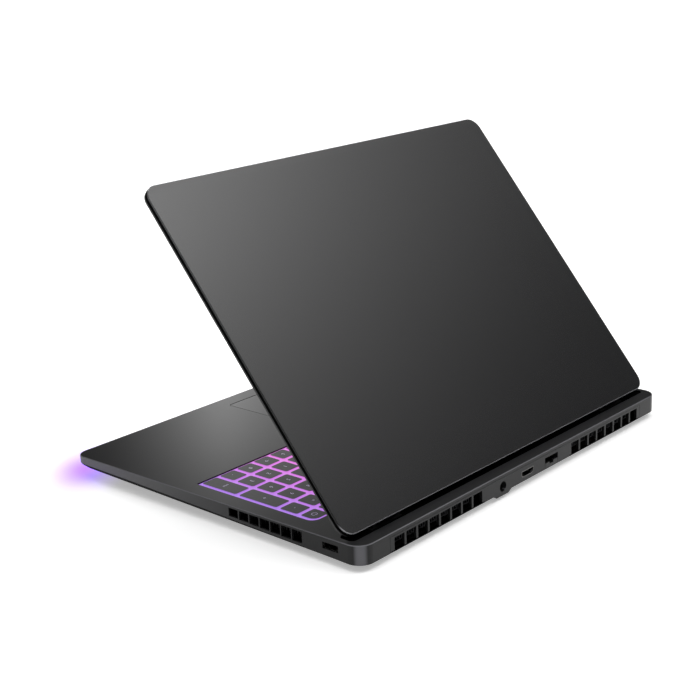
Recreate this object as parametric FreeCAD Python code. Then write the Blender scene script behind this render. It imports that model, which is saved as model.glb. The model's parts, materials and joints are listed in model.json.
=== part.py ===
import FreeCAD, Part
import math
import os

from FreeCAD import Placement, Rotation, Vector

# A 16-inch laptop computer with a lit keyboard, open at the angle it is shown at.
# Millimetres. The origin lies on the table under the middle of the base, +X is the
# user's right, +Y runs from the user to the hinge and +Z is up. Depths below the deck
# are written as DECK_Z minus a depth. The lid is drawn closed and then opened.

# Base casing
BASE_WIDTH = 356.5
BASE_DEPTH = 269.0
DECK_Z = 17.8
BELLY_Z = 2.3
FRONT_CORNER = 9.0
REAR_CORNER = 11.0
WALL = 1.8
SKIN = 1.5
COVER_WALL = 1.4
EDGE_CHAMFER = 0.5
HALF_WIDTH = BASE_WIDTH / 2
HALF_DEPTH = BASE_DEPTH / 2
SKIN_UNDER = DECK_Z - SKIN

# How far a cutter passes through the face that it opens
OVERCUT = 1.0

# Lower edge of the side walls: depth below the deck at the front, two bends and the rear
WALL_FOOT = ((-HALF_DEPTH, 5.3), (-75.0, 6.3), (0.0, 8.4), (HALF_DEPTH, 13.3))
BELLY_EDGE_INSET = 0.5
BELLY_FLANK = 2.1
BELLY_FLAT_HALF = 165.0
BELLY_FLAT_FRONT = -60.0
BELLY_FLAT_REAR = 131.5
BELLY_CORNER_RISE = 0.1

# Hinge trough along the rear of the deck
TROUGH_Y = (112.0, 124.2)
TROUGH_HALF = 173.8
TROUGH_DEPTH = 3.0
TROUGH_DEEP_HALF = 158.0
TROUGH_END_DEPTH = 1.4
TROUGH_WALL = 1.2
TROUGH_END_R = 4.0
TROUGH_UNDER = DECK_Z - TROUGH_DEPTH - TROUGH_WALL

# Lid
LID_DEPTH = 255.9
LID_CORNER = 10.0
LID_OPEN = 50.8
LID_REAR_Y = 120.97
LID_FACE_Z = DECK_Z + 6.3
LID_SKIN = 1.1
LID_WALL = 1.3
LID_SPLIT_Z = DECK_Z + 3.1
BEZEL_FACE_Z = DECK_Z + 0.8
BEZEL_BACK_Z = DECK_Z + 2.0
BEZEL_INSET = 0.3
BEZEL_TAPER = 0.7
BEZEL_RIM = 3.0
GASKET_WIDTH = 1.4
GASKET_HEIGHT = 0.4
GASKET_INSET = 3.9
CROWN_BAND = 5.5
CROWN_DROP = 0.25
LID_INNER_Z = LID_FACE_Z - LID_SKIN

# Screen, webcam and aerials, measured up the lid from its hinge edge
SCREEN_HALF = 172.35
SCREEN_REACH = (30.5, 245.9)
PANEL_MARGIN = 2.2
GLASS_THICKNESS = 0.6
WEBCAM_HALF = 32.0
TOP_STRIP_REACH = (248.6, 252.4)
WEBCAM_LENS_R = 1.3
LENS_RECESS = 0.2
AERIAL_X = (62.0, 112.0)
AERIAL_THICKNESS = 1.0

# Hinges, alike on both sides
HINGE_Y = 119.26
HINGE_Z = DECK_Z + 3.0
HINGE_X = (120.0, 150.0)
HINGE_MID_X = (128.0, 142.0)
HINGE_SIDE_GAP = 0.4
KNUCKLE_R = 2.0
HINGE_PIN_R = 1.1
RUN_CLEARANCE = 0.05
HINGE_ARM = 1.8
HINGE_ARM_LEAN = 30.0
HINGE_FOOT = 1.1
HINGE_FOOT_Y = (112.6, 119.4)
HINGE_LEAF = 1.0
HINGE_LEAF_REACH = 24.0
HINGE_NOTCH = 8.0
HINGE_POCKET = 0.4
HINGE_SCREW_X = (124.0, 146.0)
HINGE_SCREW_Y = 115.0
LEAF_SCREW_Y = 101.0
SMALL_SCREW_R = 0.9
SMALL_HEAD_R = 1.8
SMALL_HEAD = 0.6

# Keyboard: the field of keys, its rows from front to rear and its columns
KEY_OPENING_X = (-165.4, 165.4)
KEY_OPENING_Y = (-21.6, 84.6)
KEY_OPENING_CORNERS = (1.0, 1.0, 6.3, 6.3)
KEY_LEFT = -163.6
ROW_EDGES = (-21.2, -4.5, 13.7, 32.0, 50.6, 68.8, 84.2)
KEY_UNIT = 18.3
KEY_COLUMN = 16.4
NUMPAD_LEFT = 98.0
KEY_GAP = 2.8
KEY_CORNER = 1.8
KEY_TOP_Z = DECK_Z - 0.2
KEY_HEIGHT = 1.6
KEY_EDGE = 0.35
POWER_KEY_CORNER = 5.0
KEY_CLEARANCE = 0.35
GRID_TOP_Z = DECK_Z - 0.95
GRID_FLOOR_Z = DECK_Z - 3.6
GRID_SIDE_GAP = 0.3
TRAY_FLOOR_Z = DECK_Z - 4.2
TRAY_FLOOR = 0.6
TRAY_MARGIN = 2.2
TRAY_RIM = 1.0
TRAY_UNDER = TRAY_FLOOR_Z - TRAY_FLOOR

# Widths of the keys in each row, from the left edge of the keyboard
FUNCTION_KEYS = 14
NUMBER_KEYS = 13
UPPER_KEYS = 12
HOME_KEYS = 11
LOWER_KEYS = 10
MAIN_WIDTH = NUMPAD_LEFT - KEY_LEFT
SPACE_WIDTH = 110.0
CTRL_WIDTH = 27.0
SHIFT_WIDTH = 39.5
CAPS_WIDTH = 30.0
TAB_WIDTH = 25.0
ARROW_LEFT = NUMPAD_LEFT - 2 * KEY_COLUMN

# Touchpad
PAD_OPENING_X = (-87.8, 37.8)
PAD_OPENING_Y = (-120.3, -39.7)
PAD_GAP = 0.4
PAD_CORNER = 3.0
PAD_TOP_Z = DECK_Z - 0.1
PAD_THICKNESS = 1.5
PAD_FRAME_Z = (DECK_Z - 3.6, DECK_Z - 3.0)
PAD_FRAME_MARGIN = 3.5

# Rear grille and the ports in it; pairs of depths run from the lower to the upper edge
GRILLE_HALF = 150.7
GRILLE_DEPTHS = (13.1, 2.6)
GRILLE_THICKNESS = 2.2
GRILLE_SEAM = 0.25
REAR_SLOTS = 8
REAR_SLOT_FIRST = 54.5
REAR_SLOT_PITCH = 11.75
REAR_SLOT_WIDTH = 9.9
REAR_SLOT_DEPTHS = (12.4, 4.0)
JACK_X = 30.6
JACK_DEPTH = 9.0
JACK_R = 3.65
JACK_PIN_R = 0.6
JACK_PIN_SETBACK = 1.0
JACK_WALL = 1.0
JACK_BORE = 11.0
JACK_BUMP = ((20.0, 13.1), (24.2, 15.4), (38.0, 15.4), (41.0, 13.1))
VIDEO_X = (-6.2, 8.4)
VIDEO_DEPTHS = (10.3, 5.8)
VIDEO_CHAMFER = 1.6
NET_X = (-36.8, -20.5)
NET_DEPTHS = (13.1, 5.0)
NET_PLUG_HALF = 5.95
NET_MOUTH = 4.0
JAW_DEPTHS = (13.0, 9.1)
JAW_THICKNESS = 2.0
JAW_NOTCH_HALF = 2.3
JAW_NOTCH = 1.6
JAW_GAP = 0.3
JAW_PIVOT_Y = 133.4
JAW_PIVOT_Z = DECK_Z - 12.2
JAW_PIVOT_R = 0.5
JAW_PIVOT_REACH = 1.0
PORT_FRONT_Y = HALF_DEPTH - GRILLE_THICKNESS
PORT_BACK_Y = 116.5
PORT_WALL = 0.5
PORT_NOTCH = 4.0
PORT_BACK_WALL = 1.0
TONGUE_SETBACK = 3.0
TONGUE_INSET = 0.9
VIDEO_TONGUE_DEPTHS = (8.35, 7.15)

# Side vents and side ports
SIDE_SLOTS = 7
SIDE_SLOT_FIRST = 21.8
SIDE_SLOT_PITCH = 9.32
SIDE_SLOT_WIDTH = 8.5
SIDE_SLOT_TOP = 1.7
SIDE_SLOT_FOOT = 1.75
USB_A_Y = (103.2, 116.0)
USB_A_DEPTHS = (7.9, 3.4)
USB_A_TONGUE_DEPTHS = (5.6, 3.9)
USB_C_CENTRES = (99.0, 113.0)
USB_C_DEPTH = 5.6
USB_C_SIZE = (8.4, 2.7)
USB_C_TONGUE = 0.7
AUDIO_Y = -34.0
AUDIO_DEPTH = 4.3
AUDIO_R = 1.8
AUDIO_LENGTH = 12.0
AUDIO_BLOCK_HALF = (3.6, 2.6)
SIDE_PORT_INNER_X = 162.5
SIDE_WALL_INNER_X = HALF_WIDTH - WALL

# Cooling
FAN_CENTRE = (112.0, 58.0)
FAN_HALF = 40.0
FAN_Z = (DECK_Z - 13.6, TRAY_UNDER)
FAN_PLATE = 1.0
FAN_CAVITY_R = 36.0
FAN_MOUTH_OVERLAP = 4.0
FAN_INTAKE_R = 26.0
FAN_AXLE_R = 1.5
FAN_HUB_R = 12.0
FAN_BLADE_R = 32.0
FAN_BLADES = 23
FAN_BLADE = 0.8
FAN_BLADE_SWEEP = 28.0
FAN_BLADE_ROOT = 1.0
FAN_GAP = 0.6
FIN_PITCH = 2.35
FIN = 0.5
FIN_BASE = 0.8
FIN_UNDER = DECK_Z - 11.2
REAR_FINS_X = (55.0, 148.0)
REAR_FINS_Y = (101.0, 129.0)
SIDE_FINS_X = (156.0, 171.0)
SIDE_FINS_Y = (24.0, 86.0)
SIDE_FINS_UNDER = DECK_Z - 10.6
PIPES = 3
PIPE_WIDTH = 6.0
PIPE_THICKNESS = 2.2
PIPE_PITCH = 9.0
PIPE_FIN_Y = 104.5
PIPE_CORE_Y = 62.0
PIPE_END_X = 145.0
PIPE_CORE_X = 26.0

# Electronics and sound
BOARD_Z = (DECK_Z - 9.6, DECK_Z - 8.4)
BOARD_CORE = ((-53.0, 53.0), (-18.0, 113.0))
BOARD_WINGS = ((-150.0, 150.0), (-18.0, 12.0))
STANDOFF_R = 2.2
STANDOFFS = ((-140.0, 0.0), (140.0, 0.0), (-46.0, 22.0), (46.0, 22.0), (-46.0, 80.0), (46.0, 80.0))
CHIP_THICKNESS = 1.0
CHIPS = (((-30.0, -2.0), (57.0, 85.0)), ((4.0, 28.0), (59.0, 83.0)))
COLD_PLATE = ((-31.0, 29.0), (56.0, 86.0))
MEMORY_X = (-33.8, 33.8)
MEMORY_Y = (-16.0, 10.0)
MEMORY_SOCKET_Y = (10.0, 15.0)
MEMORY_GAPS = (0.8, 2.6)
MEMORY_THICKNESS = 1.1
MEMORY_SOCKET = 3.9
CARD_STANDOFF = 0.9
CARD_THICKNESS = 2.2
CARD_SOCKET = 4.0
DRIVE_X = (58.0, 138.0)
DRIVE_Y = (-16.0, 6.0)
WIRELESS_X = (-90.0, -60.0)
WIRELESS_Y = (-14.0, 8.0)
BATTERY_X = (-122.0, 96.0)
BATTERY_Y = (-84.0, -28.0)
BATTERY_Z = (DECK_Z - 10.2, DECK_Z - 3.6)
BATTERY_CELLS = 4
BATTERY_GROOVE = 0.6
BATTERY_GROOVE_HALF = 1.0
SPEAKER_X = (126.0, 164.0)
SPEAKER_Y = (-96.0, -56.0)
SPEAKER_UNDER = DECK_Z - 8.0
SPEAKER_CORNER = 3.0
SPEAKER_CONE_R = 12.0
SPEAKER_CONE_RIM = 2.0
SPEAKER_CONE_GROOVE = 0.6

# Light bar under the front edge
BAR_HALF = 140.0
BAR_Y = (-131.3, -127.7)
BAR_TOP_Z = DECK_Z - 3.2
BAR_PROUD = 0.3
BAR_GAP = 0.15

# Underside: intakes, feet, speaker slots and screws
INTAKE_X = (80.0, 144.0)
INTAKE_Y = (28.0, 90.0)
INTAKE_CORNER = 5.0
INTAKE_GAP = 0.15
INTAKE_PLATE = 1.0
INTAKE_COLUMNS = 4
INTAKE_ROWS = 9
INTAKE_SLOT = (13.0, 3.2)
REAR_FOOT_HALF = 135.0
REAR_FOOT_Y = (112.0, 122.0)
FRONT_FOOT_X = (100.0, 148.0)
FRONT_FOOT_Y = (-57.0, -47.0)
FOOT_CORNER = 4.9
SPEAKER_SLOTS = 6
SPEAKER_SLOT_PITCH = 5.0
SPEAKER_SLOT = (26.0, 1.8)
SPEAKER_SLOT_CENTRE = (144.0, -78.0)
COVER_SCREWS_FLAT = ((160.0, -40.0), (154.0, 106.0))
COVER_SCREWS_FRONT = ((120.0, -112.0),)
BOSS_R = 2.8
BOSS_GAP = 0.7
COVER_SCREW_R = 1.2
COVER_HEAD_R = 2.4
COVER_HEAD = 0.9
HEAD_CLEARANCE = 0.2
SCREW_LENGTH = 3.2


def below(depth):
    """Height of a point that lies this far under the deck."""
    return DECK_Z - depth


def depths(pair):
    """Heights of a pair of depths under the deck, lower one first."""
    return (below(pair[0]), below(pair[1]))


def grown(pair, amount):
    """A range widened at both ends, or narrowed where the amount is negative."""
    return (pair[0] - amount, pair[1] + amount)


def both_ways(half):
    """A range that is centred on zero."""
    return (-half, half)


def box(x, y, z):
    """Square-cornered block between three ranges."""
    return Part.makeBox(x[1] - x[0], y[1] - y[0], z[1] - z[0], Vector(x[0], y[0], z[0]))


def rounded(x, y, z, radii):
    """Upright block; its corner radii run front left, front right, rear right, rear left."""
    if not isinstance(radii, tuple):
        radii = (radii,) * 4
    corners = [Vector(x[0], y[0], z[0]), Vector(x[1], y[0], z[0]),
               Vector(x[1], y[1], z[0]), Vector(x[0], y[1], z[0])]
    arcs = []
    for i, corner in enumerate(corners):
        back = (corners[i - 1] - corner).normalize()
        ahead = (corners[(i + 1) % 4] - corner).normalize()
        middle = (back + ahead) * (radii[i] * (1 - math.sqrt(0.5)))
        arcs.append((corner + back * radii[i], corner + middle, corner + ahead * radii[i]))
    edges = []
    for i, (start, middle, end) in enumerate(arcs):
        if (start - arcs[i - 1][2]).Length > 1e-6:
            edges.append(Part.LineSegment(arcs[i - 1][2], start).toShape())
        edges.append(Part.Arc(start, middle, end).toShape())
    return Part.Face(Part.Wire(edges)).extrude(Vector(0, 0, z[1] - z[0]))


def prism_x(points, x):
    """Polygon of (y, z) points drawn out along X."""
    corners = [Vector(x[0], y, z) for y, z in points]
    return Part.Face(Part.makePolygon(corners + corners[:1])).extrude(Vector(x[1] - x[0], 0, 0))


def prism_y(points, y):
    """Polygon of (x, z) points drawn out along Y."""
    corners = [Vector(x, y[0], z) for x, z in points]
    return Part.Face(Part.makePolygon(corners + corners[:1])).extrude(Vector(0, y[1] - y[0], 0))


def rod_x(radius, x, y, z):
    """Cylinder along X."""
    return Part.makeCylinder(radius, x[1] - x[0], Vector(x[0], y, z), Vector(1, 0, 0))


def rod_y(radius, x, y, z):
    """Cylinder along Y."""
    return Part.makeCylinder(radius, y[1] - y[0], Vector(x, y[0], z), Vector(0, 1, 0))


def rod_z(radius, x, y, z):
    """Upright cylinder."""
    return Part.makeCylinder(radius, z[1] - z[0], Vector(x, y, z[0]), Vector(0, 0, 1))


def joined(shapes):
    """One solid out of pieces that meet."""
    return shapes[0].multiFuse(shapes[1:]).removeSplitter()


def edges_at(shape, z):
    """Edges that lie at one height."""
    return [e for e in shape.Edges if all(abs(v.Z - z) < 1e-6 for v in e.Vertexes)]


def mirrored(shape):
    """The same piece on the other side of the middle."""
    return shape.mirror(Vector(0, 0, 0), Vector(1, 0, 0))


def on_both_sides(shape):
    """The piece and its mirror image."""
    return [shape, mirrored(shape)]


def opened(shape):
    """A lid piece turned from closed to the angle it stands at."""
    turned = shape.copy()
    turned.rotate(Vector(0, HINGE_Y, HINGE_Z), Vector(1, 0, 0), -LID_OPEN)
    return turned


def save(name, *solids):
    """Write one node, as a single solid or as a group of them."""
    shape = solids[0] if len(solids) == 1 else Part.makeCompound(list(solids))
    shape.exportStep("parts/" + name + ".step")


def foot_z(y):
    """Height of the side wall's lower edge at depth y."""
    for (y0, d0), (y1, d1) in zip(WALL_FOOT, WALL_FOOT[1:]):
        if y <= y1:
            return below(d0 + (d1 - d0) * (y - y0) / (y1 - y0))
    return below(WALL_FOOT[-1][1])


def foot_profile(far_z):
    """Space between the walls' lower edge and a level above or below it."""
    points = [(y, below(d)) for y, d in WALL_FOOT]
    return prism_x(points + [(HALF_DEPTH, far_z), (-HALF_DEPTH, far_z)], both_ways(HALF_WIDTH))


def beyond(point, normal):
    """Large block on the outer side of a plane."""
    reach = 2 * BASE_WIDTH
    block = Part.makeBox(reach, reach, BASE_WIDTH, Vector(-reach / 2, -reach / 2, 0))
    block.Placement = Placement(point, Rotation(Vector(0, 0, 1), normal))
    return block


def footprint(inset, z):
    """The base's plan outline, drawn in by an inset."""
    radii = (FRONT_CORNER - inset, FRONT_CORNER - inset, REAR_CORNER - inset, REAR_CORNER - inset)
    return rounded(both_ways(HALF_WIDTH - inset), both_ways(HALF_DEPTH - inset), z, radii)


def across(vector):
    """The same vector on the other side of the middle plane."""
    return Vector(-vector.x, vector.y, vector.z)


def belly_planes():
    """Points and outward normals of the sloping sides under the base."""
    edge_x = HALF_WIDTH - BELLY_EDGE_INSET
    edge_y = HALF_DEPTH - BELLY_EDGE_INSET
    bend_y = WALL_FOOT[1][0]
    front_edge = Vector(edge_x, bend_y, foot_z(bend_y) - BELLY_FLANK)
    rear_edge = Vector(edge_x, edge_y, foot_z(edge_y))
    flat_edge = Vector(BELLY_FLAT_HALF, BELLY_FLAT_FRONT, BELLY_Z)
    side = (rear_edge - front_edge).cross(flat_edge - front_edge).normalize()
    side = side if side.x > 0 else side * -1
    front = Vector(0, BELLY_Z - foot_z(-edge_y), -(BELLY_FLAT_FRONT + edge_y)).normalize()
    rear = Vector(0, foot_z(edge_y) - BELLY_Z, -(edge_y - BELLY_FLAT_REAR)).normalize()
    reach = (REAR_CORNER - BELLY_EDGE_INSET) * math.sqrt(0.5)
    corner_y = HALF_DEPTH - REAR_CORNER + reach
    corner_edge = Vector(HALF_WIDTH - REAR_CORNER + reach, corner_y, foot_z(corner_y))
    corner = Vector(BELLY_CORNER_RISE, BELLY_CORNER_RISE, -math.sqrt(2)).normalize()
    return [
        (front_edge, side),
        (across(front_edge), across(side)),
        (corner_edge, corner),
        (across(corner_edge), across(corner)),
        (Vector(0, -edge_y, foot_z(-edge_y)), front),
        (Vector(0, edge_y, foot_z(edge_y)), rear),
    ]


def belly(inset):
    """The base's body under the deck, drawn in on every face."""
    body = footprint(BELLY_EDGE_INSET + inset, (BELLY_Z + inset, DECK_Z))
    for point, normal in belly_planes():
        body = body.cut(beyond(point - normal * inset, normal))
    return body


def belly_front_z(y):
    """Height of the sloping underside near the front edge."""
    edge_y = -HALF_DEPTH + BELLY_EDGE_INSET
    run = (y - edge_y) / (BELLY_FLAT_FRONT - edge_y)
    return foot_z(edge_y) + (BELLY_Z - foot_z(edge_y)) * run


def cover_screw_spots():
    """Places of the bottom cover's screws, with the height of the cover there."""
    spots = [(x, y, BELLY_Z) for x, y in COVER_SCREWS_FLAT]
    spots += [(x, y, belly_front_z(y)) for x, y in COVER_SCREWS_FRONT]
    return spots + [(-x, y, z) for x, y, z in spots]


def side_slots():
    """Cutters for the exhaust slots in the right side wall."""
    cutters = []
    for i in range(SIDE_SLOTS):
        y0 = SIDE_SLOT_FIRST + i * SIDE_SLOT_PITCH
        foot = foot_z(y0 + SIDE_SLOT_WIDTH / 2) + SIDE_SLOT_FOOT
        cutters.append(box(grown((SIDE_WALL_INNER_X, HALF_WIDTH), OVERCUT), (y0, y0 + SIDE_SLOT_WIDTH),
                           (foot, below(SIDE_SLOT_TOP))))
    return cutters


def stadium_x(x, y_mid, z_mid, size):
    """Round-ended bar along X, for the small oval ports."""
    half = (size[0] - size[1]) / 2
    bar = box(x, (y_mid - half, y_mid + half), (z_mid - size[1] / 2, z_mid + size[1] / 2))
    ends = [rod_x(size[1] / 2, x, y_mid + s * half, z_mid) for s in (-1, 1)]
    return joined([bar] + ends)


def top_case():
    """Deck and side walls in one shell, with the hinge trough and the screw bosses."""
    shell = footprint(0, (below(WALL_FOOT[-1][1]), DECK_Z))
    shell = shell.makeChamfer(EDGE_CHAMFER, edges_at(shell, DECK_Z))
    shell = shell.common(foot_profile(DECK_Z))
    shell = shell.cut(footprint(WALL, (BELLY_Z, SKIN_UNDER)))
    deep_y = grown(TROUGH_Y, TROUGH_WALL)
    added = [box(both_ways(TROUGH_DEEP_HALF + TROUGH_WALL), deep_y, (TROUGH_UNDER, SKIN_UNDER)),
             box(both_ways(TROUGH_HALF + TROUGH_WALL), deep_y,
                 (below(TROUGH_END_DEPTH + TROUGH_WALL), SKIN_UNDER))]
    for x, y, z in cover_screw_spots():
        added.append(rod_z(BOSS_R, x, y, (z + COVER_WALL + BOSS_GAP, SKIN_UNDER)))
    shell = joined([shell] + added)
    above = DECK_Z + OVERCUT
    right_wall = grown((SIDE_WALL_INNER_X, HALF_WIDTH), OVERCUT)
    left_wall = (-right_wall[1], -right_wall[0])
    cutters = [
        rounded(both_ways(TROUGH_HALF), TROUGH_Y, (below(TROUGH_END_DEPTH), above), TROUGH_END_R),
        box(both_ways(TROUGH_DEEP_HALF), TROUGH_Y, (below(TROUGH_DEPTH), DECK_Z)),
        rounded(KEY_OPENING_X, KEY_OPENING_Y, (TRAY_UNDER, above), KEY_OPENING_CORNERS),
        rounded(PAD_OPENING_X, PAD_OPENING_Y, (SKIN_UNDER - OVERCUT, above), PAD_CORNER),
        box(both_ways(GRILLE_HALF + GRILLE_SEAM), (PORT_FRONT_Y - OVERCUT, HALF_DEPTH + OVERCUT),
            (BELLY_Z, below(GRILLE_DEPTHS[1] - GRILLE_SEAM))),
        box(right_wall, USB_A_Y, depths(USB_A_DEPTHS)),
        rod_x(AUDIO_R, left_wall, AUDIO_Y, below(AUDIO_DEPTH)),
    ]
    cutters += [stadium_x(left_wall, y, below(USB_C_DEPTH), USB_C_SIZE) for y in USB_C_CENTRES]
    for slot in side_slots():
        cutters += on_both_sides(slot)
    for x, y, z in cover_screw_spots():
        cutters.append(rod_z(COVER_SCREW_R, x, y, (BELLY_Z, z + COVER_HEAD + SCREW_LENGTH)))
    for x in HINGE_SCREW_X:
        hole = rod_z(SMALL_SCREW_R, x, HINGE_SCREW_Y, (TROUGH_UNDER - OVERCUT, DECK_Z))
        cutters += on_both_sides(hole)
    return shell.cut(cutters)


def bottom_cover():
    """Tray that closes the base from below, with its intakes, slots and screw seats."""
    tray = belly(0).cut(belly(COVER_WALL)).common(foot_profile(BELLY_Z))
    below_all = (BELLY_Z - OVERCUT, DECK_Z)
    cutters = []
    cutters += on_both_sides(rounded(INTAKE_X, INTAKE_Y, below_all, INTAKE_CORNER))
    cutters.append(box(both_ways(BAR_HALF + BAR_GAP), grown(BAR_Y, BAR_GAP), below_all))
    bump_x = grown((JACK_BUMP[0][0], JACK_BUMP[-1][0]), JAW_GAP)
    notch_y = (PORT_FRONT_Y - PORT_NOTCH, HALF_DEPTH)
    cutters.append(box(bump_x, notch_y, (below(JACK_BUMP[1][1] - JAW_GAP), DECK_Z)))
    cutters.append(box(bump_x, (PORT_FRONT_Y - JAW_GAP, HALF_DEPTH), below_all))
    socket_x = grown(NET_X, PORT_WALL + JAW_GAP)
    cutters.append(box(socket_x, notch_y, (below(NET_DEPTHS[0] + 2 * PORT_WALL), DECK_Z)))
    for i in range(SPEAKER_SLOTS):
        y = SPEAKER_SLOT_CENTRE[1] + (i - (SPEAKER_SLOTS - 1) / 2) * SPEAKER_SLOT_PITCH
        x = (SPEAKER_SLOT_CENTRE[0] - SPEAKER_SLOT[0] / 2, SPEAKER_SLOT_CENTRE[0] + SPEAKER_SLOT[0] / 2)
        cutters += on_both_sides(box(x, (y - SPEAKER_SLOT[1] / 2, y + SPEAKER_SLOT[1] / 2), below_all))
    for x, y, z in cover_screw_spots():
        cutters.append(rod_z(COVER_SCREW_R + HEAD_CLEARANCE, x, y, below_all))
        cutters.append(rod_z(COVER_HEAD_R + HEAD_CLEARANCE, x, y, (BELLY_Z - OVERCUT, z + COVER_HEAD)))
    return tray.cut(cutters)


def cover_screws():
    """Countersunk-flush screws that hold the bottom cover to the bosses."""
    screws = []
    for x, y, z in cover_screw_spots():
        seat = z + COVER_HEAD
        head = rod_z(COVER_HEAD_R, x, y, (z + HEAD_CLEARANCE, seat))
        socket = rod_z(COVER_SCREW_R, x, y, (z, z + COVER_HEAD / 2))
        shank = rod_z(COVER_SCREW_R, x, y, (seat, seat + SCREW_LENGTH))
        screws.append(joined([head, shank]).cut(socket))
    return screws


def intake_grille():
    """Slotted plate in the right intake opening."""
    x = grown(INTAKE_X, -INTAKE_GAP)
    y = grown(INTAKE_Y, -INTAKE_GAP)
    z = (BELLY_Z + COVER_WALL - INTAKE_PLATE, BELLY_Z + COVER_WALL)
    plate = rounded(x, y, z, INTAKE_CORNER - INTAKE_GAP)
    slots = []
    pitch_x = (x[1] - x[0]) / INTAKE_COLUMNS
    pitch_y = (y[1] - y[0]) / INTAKE_ROWS
    for column in range(INTAKE_COLUMNS):
        for row in range(INTAKE_ROWS):
            mid_x = x[0] + (column + 0.5) * pitch_x
            mid_y = y[0] + (row + 0.5) * pitch_y
            slots.append(rounded((mid_x - INTAKE_SLOT[0] / 2, mid_x + INTAKE_SLOT[0] / 2),
                                 (mid_y - INTAKE_SLOT[1] / 2, mid_y + INTAKE_SLOT[1] / 2),
                                 grown(z, OVERCUT), INTAKE_SLOT[1] / 2))
    return plate.cut(slots)


def feet():
    """Long rear foot and the two short front feet."""
    rise = (0, BELLY_Z)
    rear = rounded(both_ways(REAR_FOOT_HALF), REAR_FOOT_Y, rise, FOOT_CORNER)
    front = rounded(FRONT_FOOT_X, FRONT_FOOT_Y, rise, FOOT_CORNER)
    return rear, on_both_sides(front)


def light_bar():
    """Clear strip that shines down at the table from under the front edge."""
    points = [(BAR_Y[0], BAR_TOP_Z), (BAR_Y[1], BAR_TOP_Z)]
    points += [(y, belly_front_z(y) - BAR_PROUD) for y in reversed(BAR_Y)]
    return prism_x(points, both_ways(BAR_HALF))


def video_outline(grow):
    """Outline of the video port: a bar with its lower corners cut off."""
    x = grown(VIDEO_X, grow)
    z = grown(depths(VIDEO_DEPTHS), grow)
    return [(x[0], z[1]), (x[0], z[0] + VIDEO_CHAMFER), (x[0] + VIDEO_CHAMFER, z[0]),
            (x[1] - VIDEO_CHAMFER, z[0]), (x[1], z[0] + VIDEO_CHAMFER), (x[1], z[1])]


def rear_grille():
    """Rear panel with two vents and the openings of the three rear ports."""
    y = (PORT_FRONT_Y, HALF_DEPTH)
    through = grown(y, OVERCUT)
    panel = box(both_ways(GRILLE_HALF), y, depths(GRILLE_DEPTHS))
    bump = prism_y([(x, below(d)) for x, d in JACK_BUMP], y)
    cutters = []
    for i in range(REAR_SLOTS):
        x0 = REAR_SLOT_FIRST + i * REAR_SLOT_PITCH
        cutters += on_both_sides(box((x0, x0 + REAR_SLOT_WIDTH), through, depths(REAR_SLOT_DEPTHS)))
    cutters.append(rod_y(JACK_R, JACK_X, through, below(JACK_DEPTH)))
    cutters.append(prism_y(video_outline(0), through))
    cutters.append(box(NET_X, through, (BELLY_Z, below(NET_DEPTHS[1]))))
    pivot_x = grown(NET_X, JAW_PIVOT_REACH)
    cutters.append(rod_x(JAW_PIVOT_R + RUN_CLEARANCE, pivot_x, JAW_PIVOT_Y, JAW_PIVOT_Z))
    return joined([panel, bump]).cut(cutters)


def ethernet_jaw():
    """Spring-loaded lower lip of the network socket, with its pivot stubs."""
    x = grown(NET_X, -JAW_GAP)
    y = (HALF_DEPTH - JAW_THICKNESS, HALF_DEPTH)
    z = depths(JAW_DEPTHS)
    middle = (NET_X[0] + NET_X[1]) / 2
    notch = box((middle - JAW_NOTCH_HALF, middle + JAW_NOTCH_HALF), grown(y, OVERCUT),
                (z[1] - JAW_NOTCH, z[1] + OVERCUT))
    stubs = rod_x(JAW_PIVOT_R, grown(NET_X, JAW_PIVOT_REACH - JAW_GAP), JAW_PIVOT_Y, JAW_PIVOT_Z)
    return joined([box(x, y, z).cut(notch), stubs])


def ethernet_socket():
    """Network socket behind the jaw: a block with the plug's space in it."""
    y = (PORT_BACK_Y, PORT_FRONT_Y)
    z = depths(NET_DEPTHS)
    middle = (NET_X[0] + NET_X[1]) / 2
    plug_x = (middle - NET_PLUG_HALF, middle + NET_PLUG_HALF)
    block = box(grown(NET_X, PORT_WALL), y, grown(z, PORT_WALL))
    plug = box(plug_x, (y[0] + PORT_BACK_WALL, y[1] + OVERCUT), z)
    mouth = box(NET_X, (y[1] - NET_MOUTH, y[1] + OVERCUT), z)
    return block.cut([plug, mouth])


def dc_jack():
    """Power inlet: a block with a round socket and its centre pin."""
    z_mid = below(JACK_DEPTH)
    half = JACK_R + JACK_WALL
    y = (PORT_BACK_Y, PORT_FRONT_Y)
    block = box((JACK_X - half, JACK_X + half), y, (z_mid - half, z_mid + half))
    block = block.cut(rod_y(JACK_R, JACK_X, (y[1] - JACK_BORE, y[1] + OVERCUT), z_mid))
    pin = rod_y(JACK_PIN_R, JACK_X, (y[1] - JACK_BORE - JACK_WALL, y[1] - JACK_PIN_SETBACK), z_mid)
    return joined([block, pin])


def video_port():
    """Video socket with its contact tongue."""
    y = (PORT_BACK_Y, PORT_FRONT_Y)
    hollow = prism_y(video_outline(0), (y[0] + PORT_BACK_WALL, y[1] + OVERCUT))
    shell = prism_y(video_outline(PORT_WALL), y).cut(hollow)
    tongue = box(grown(VIDEO_X, -VIDEO_CHAMFER), (y[0], y[1] - TONGUE_SETBACK), depths(VIDEO_TONGUE_DEPTHS))
    return joined([shell, tongue])


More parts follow.
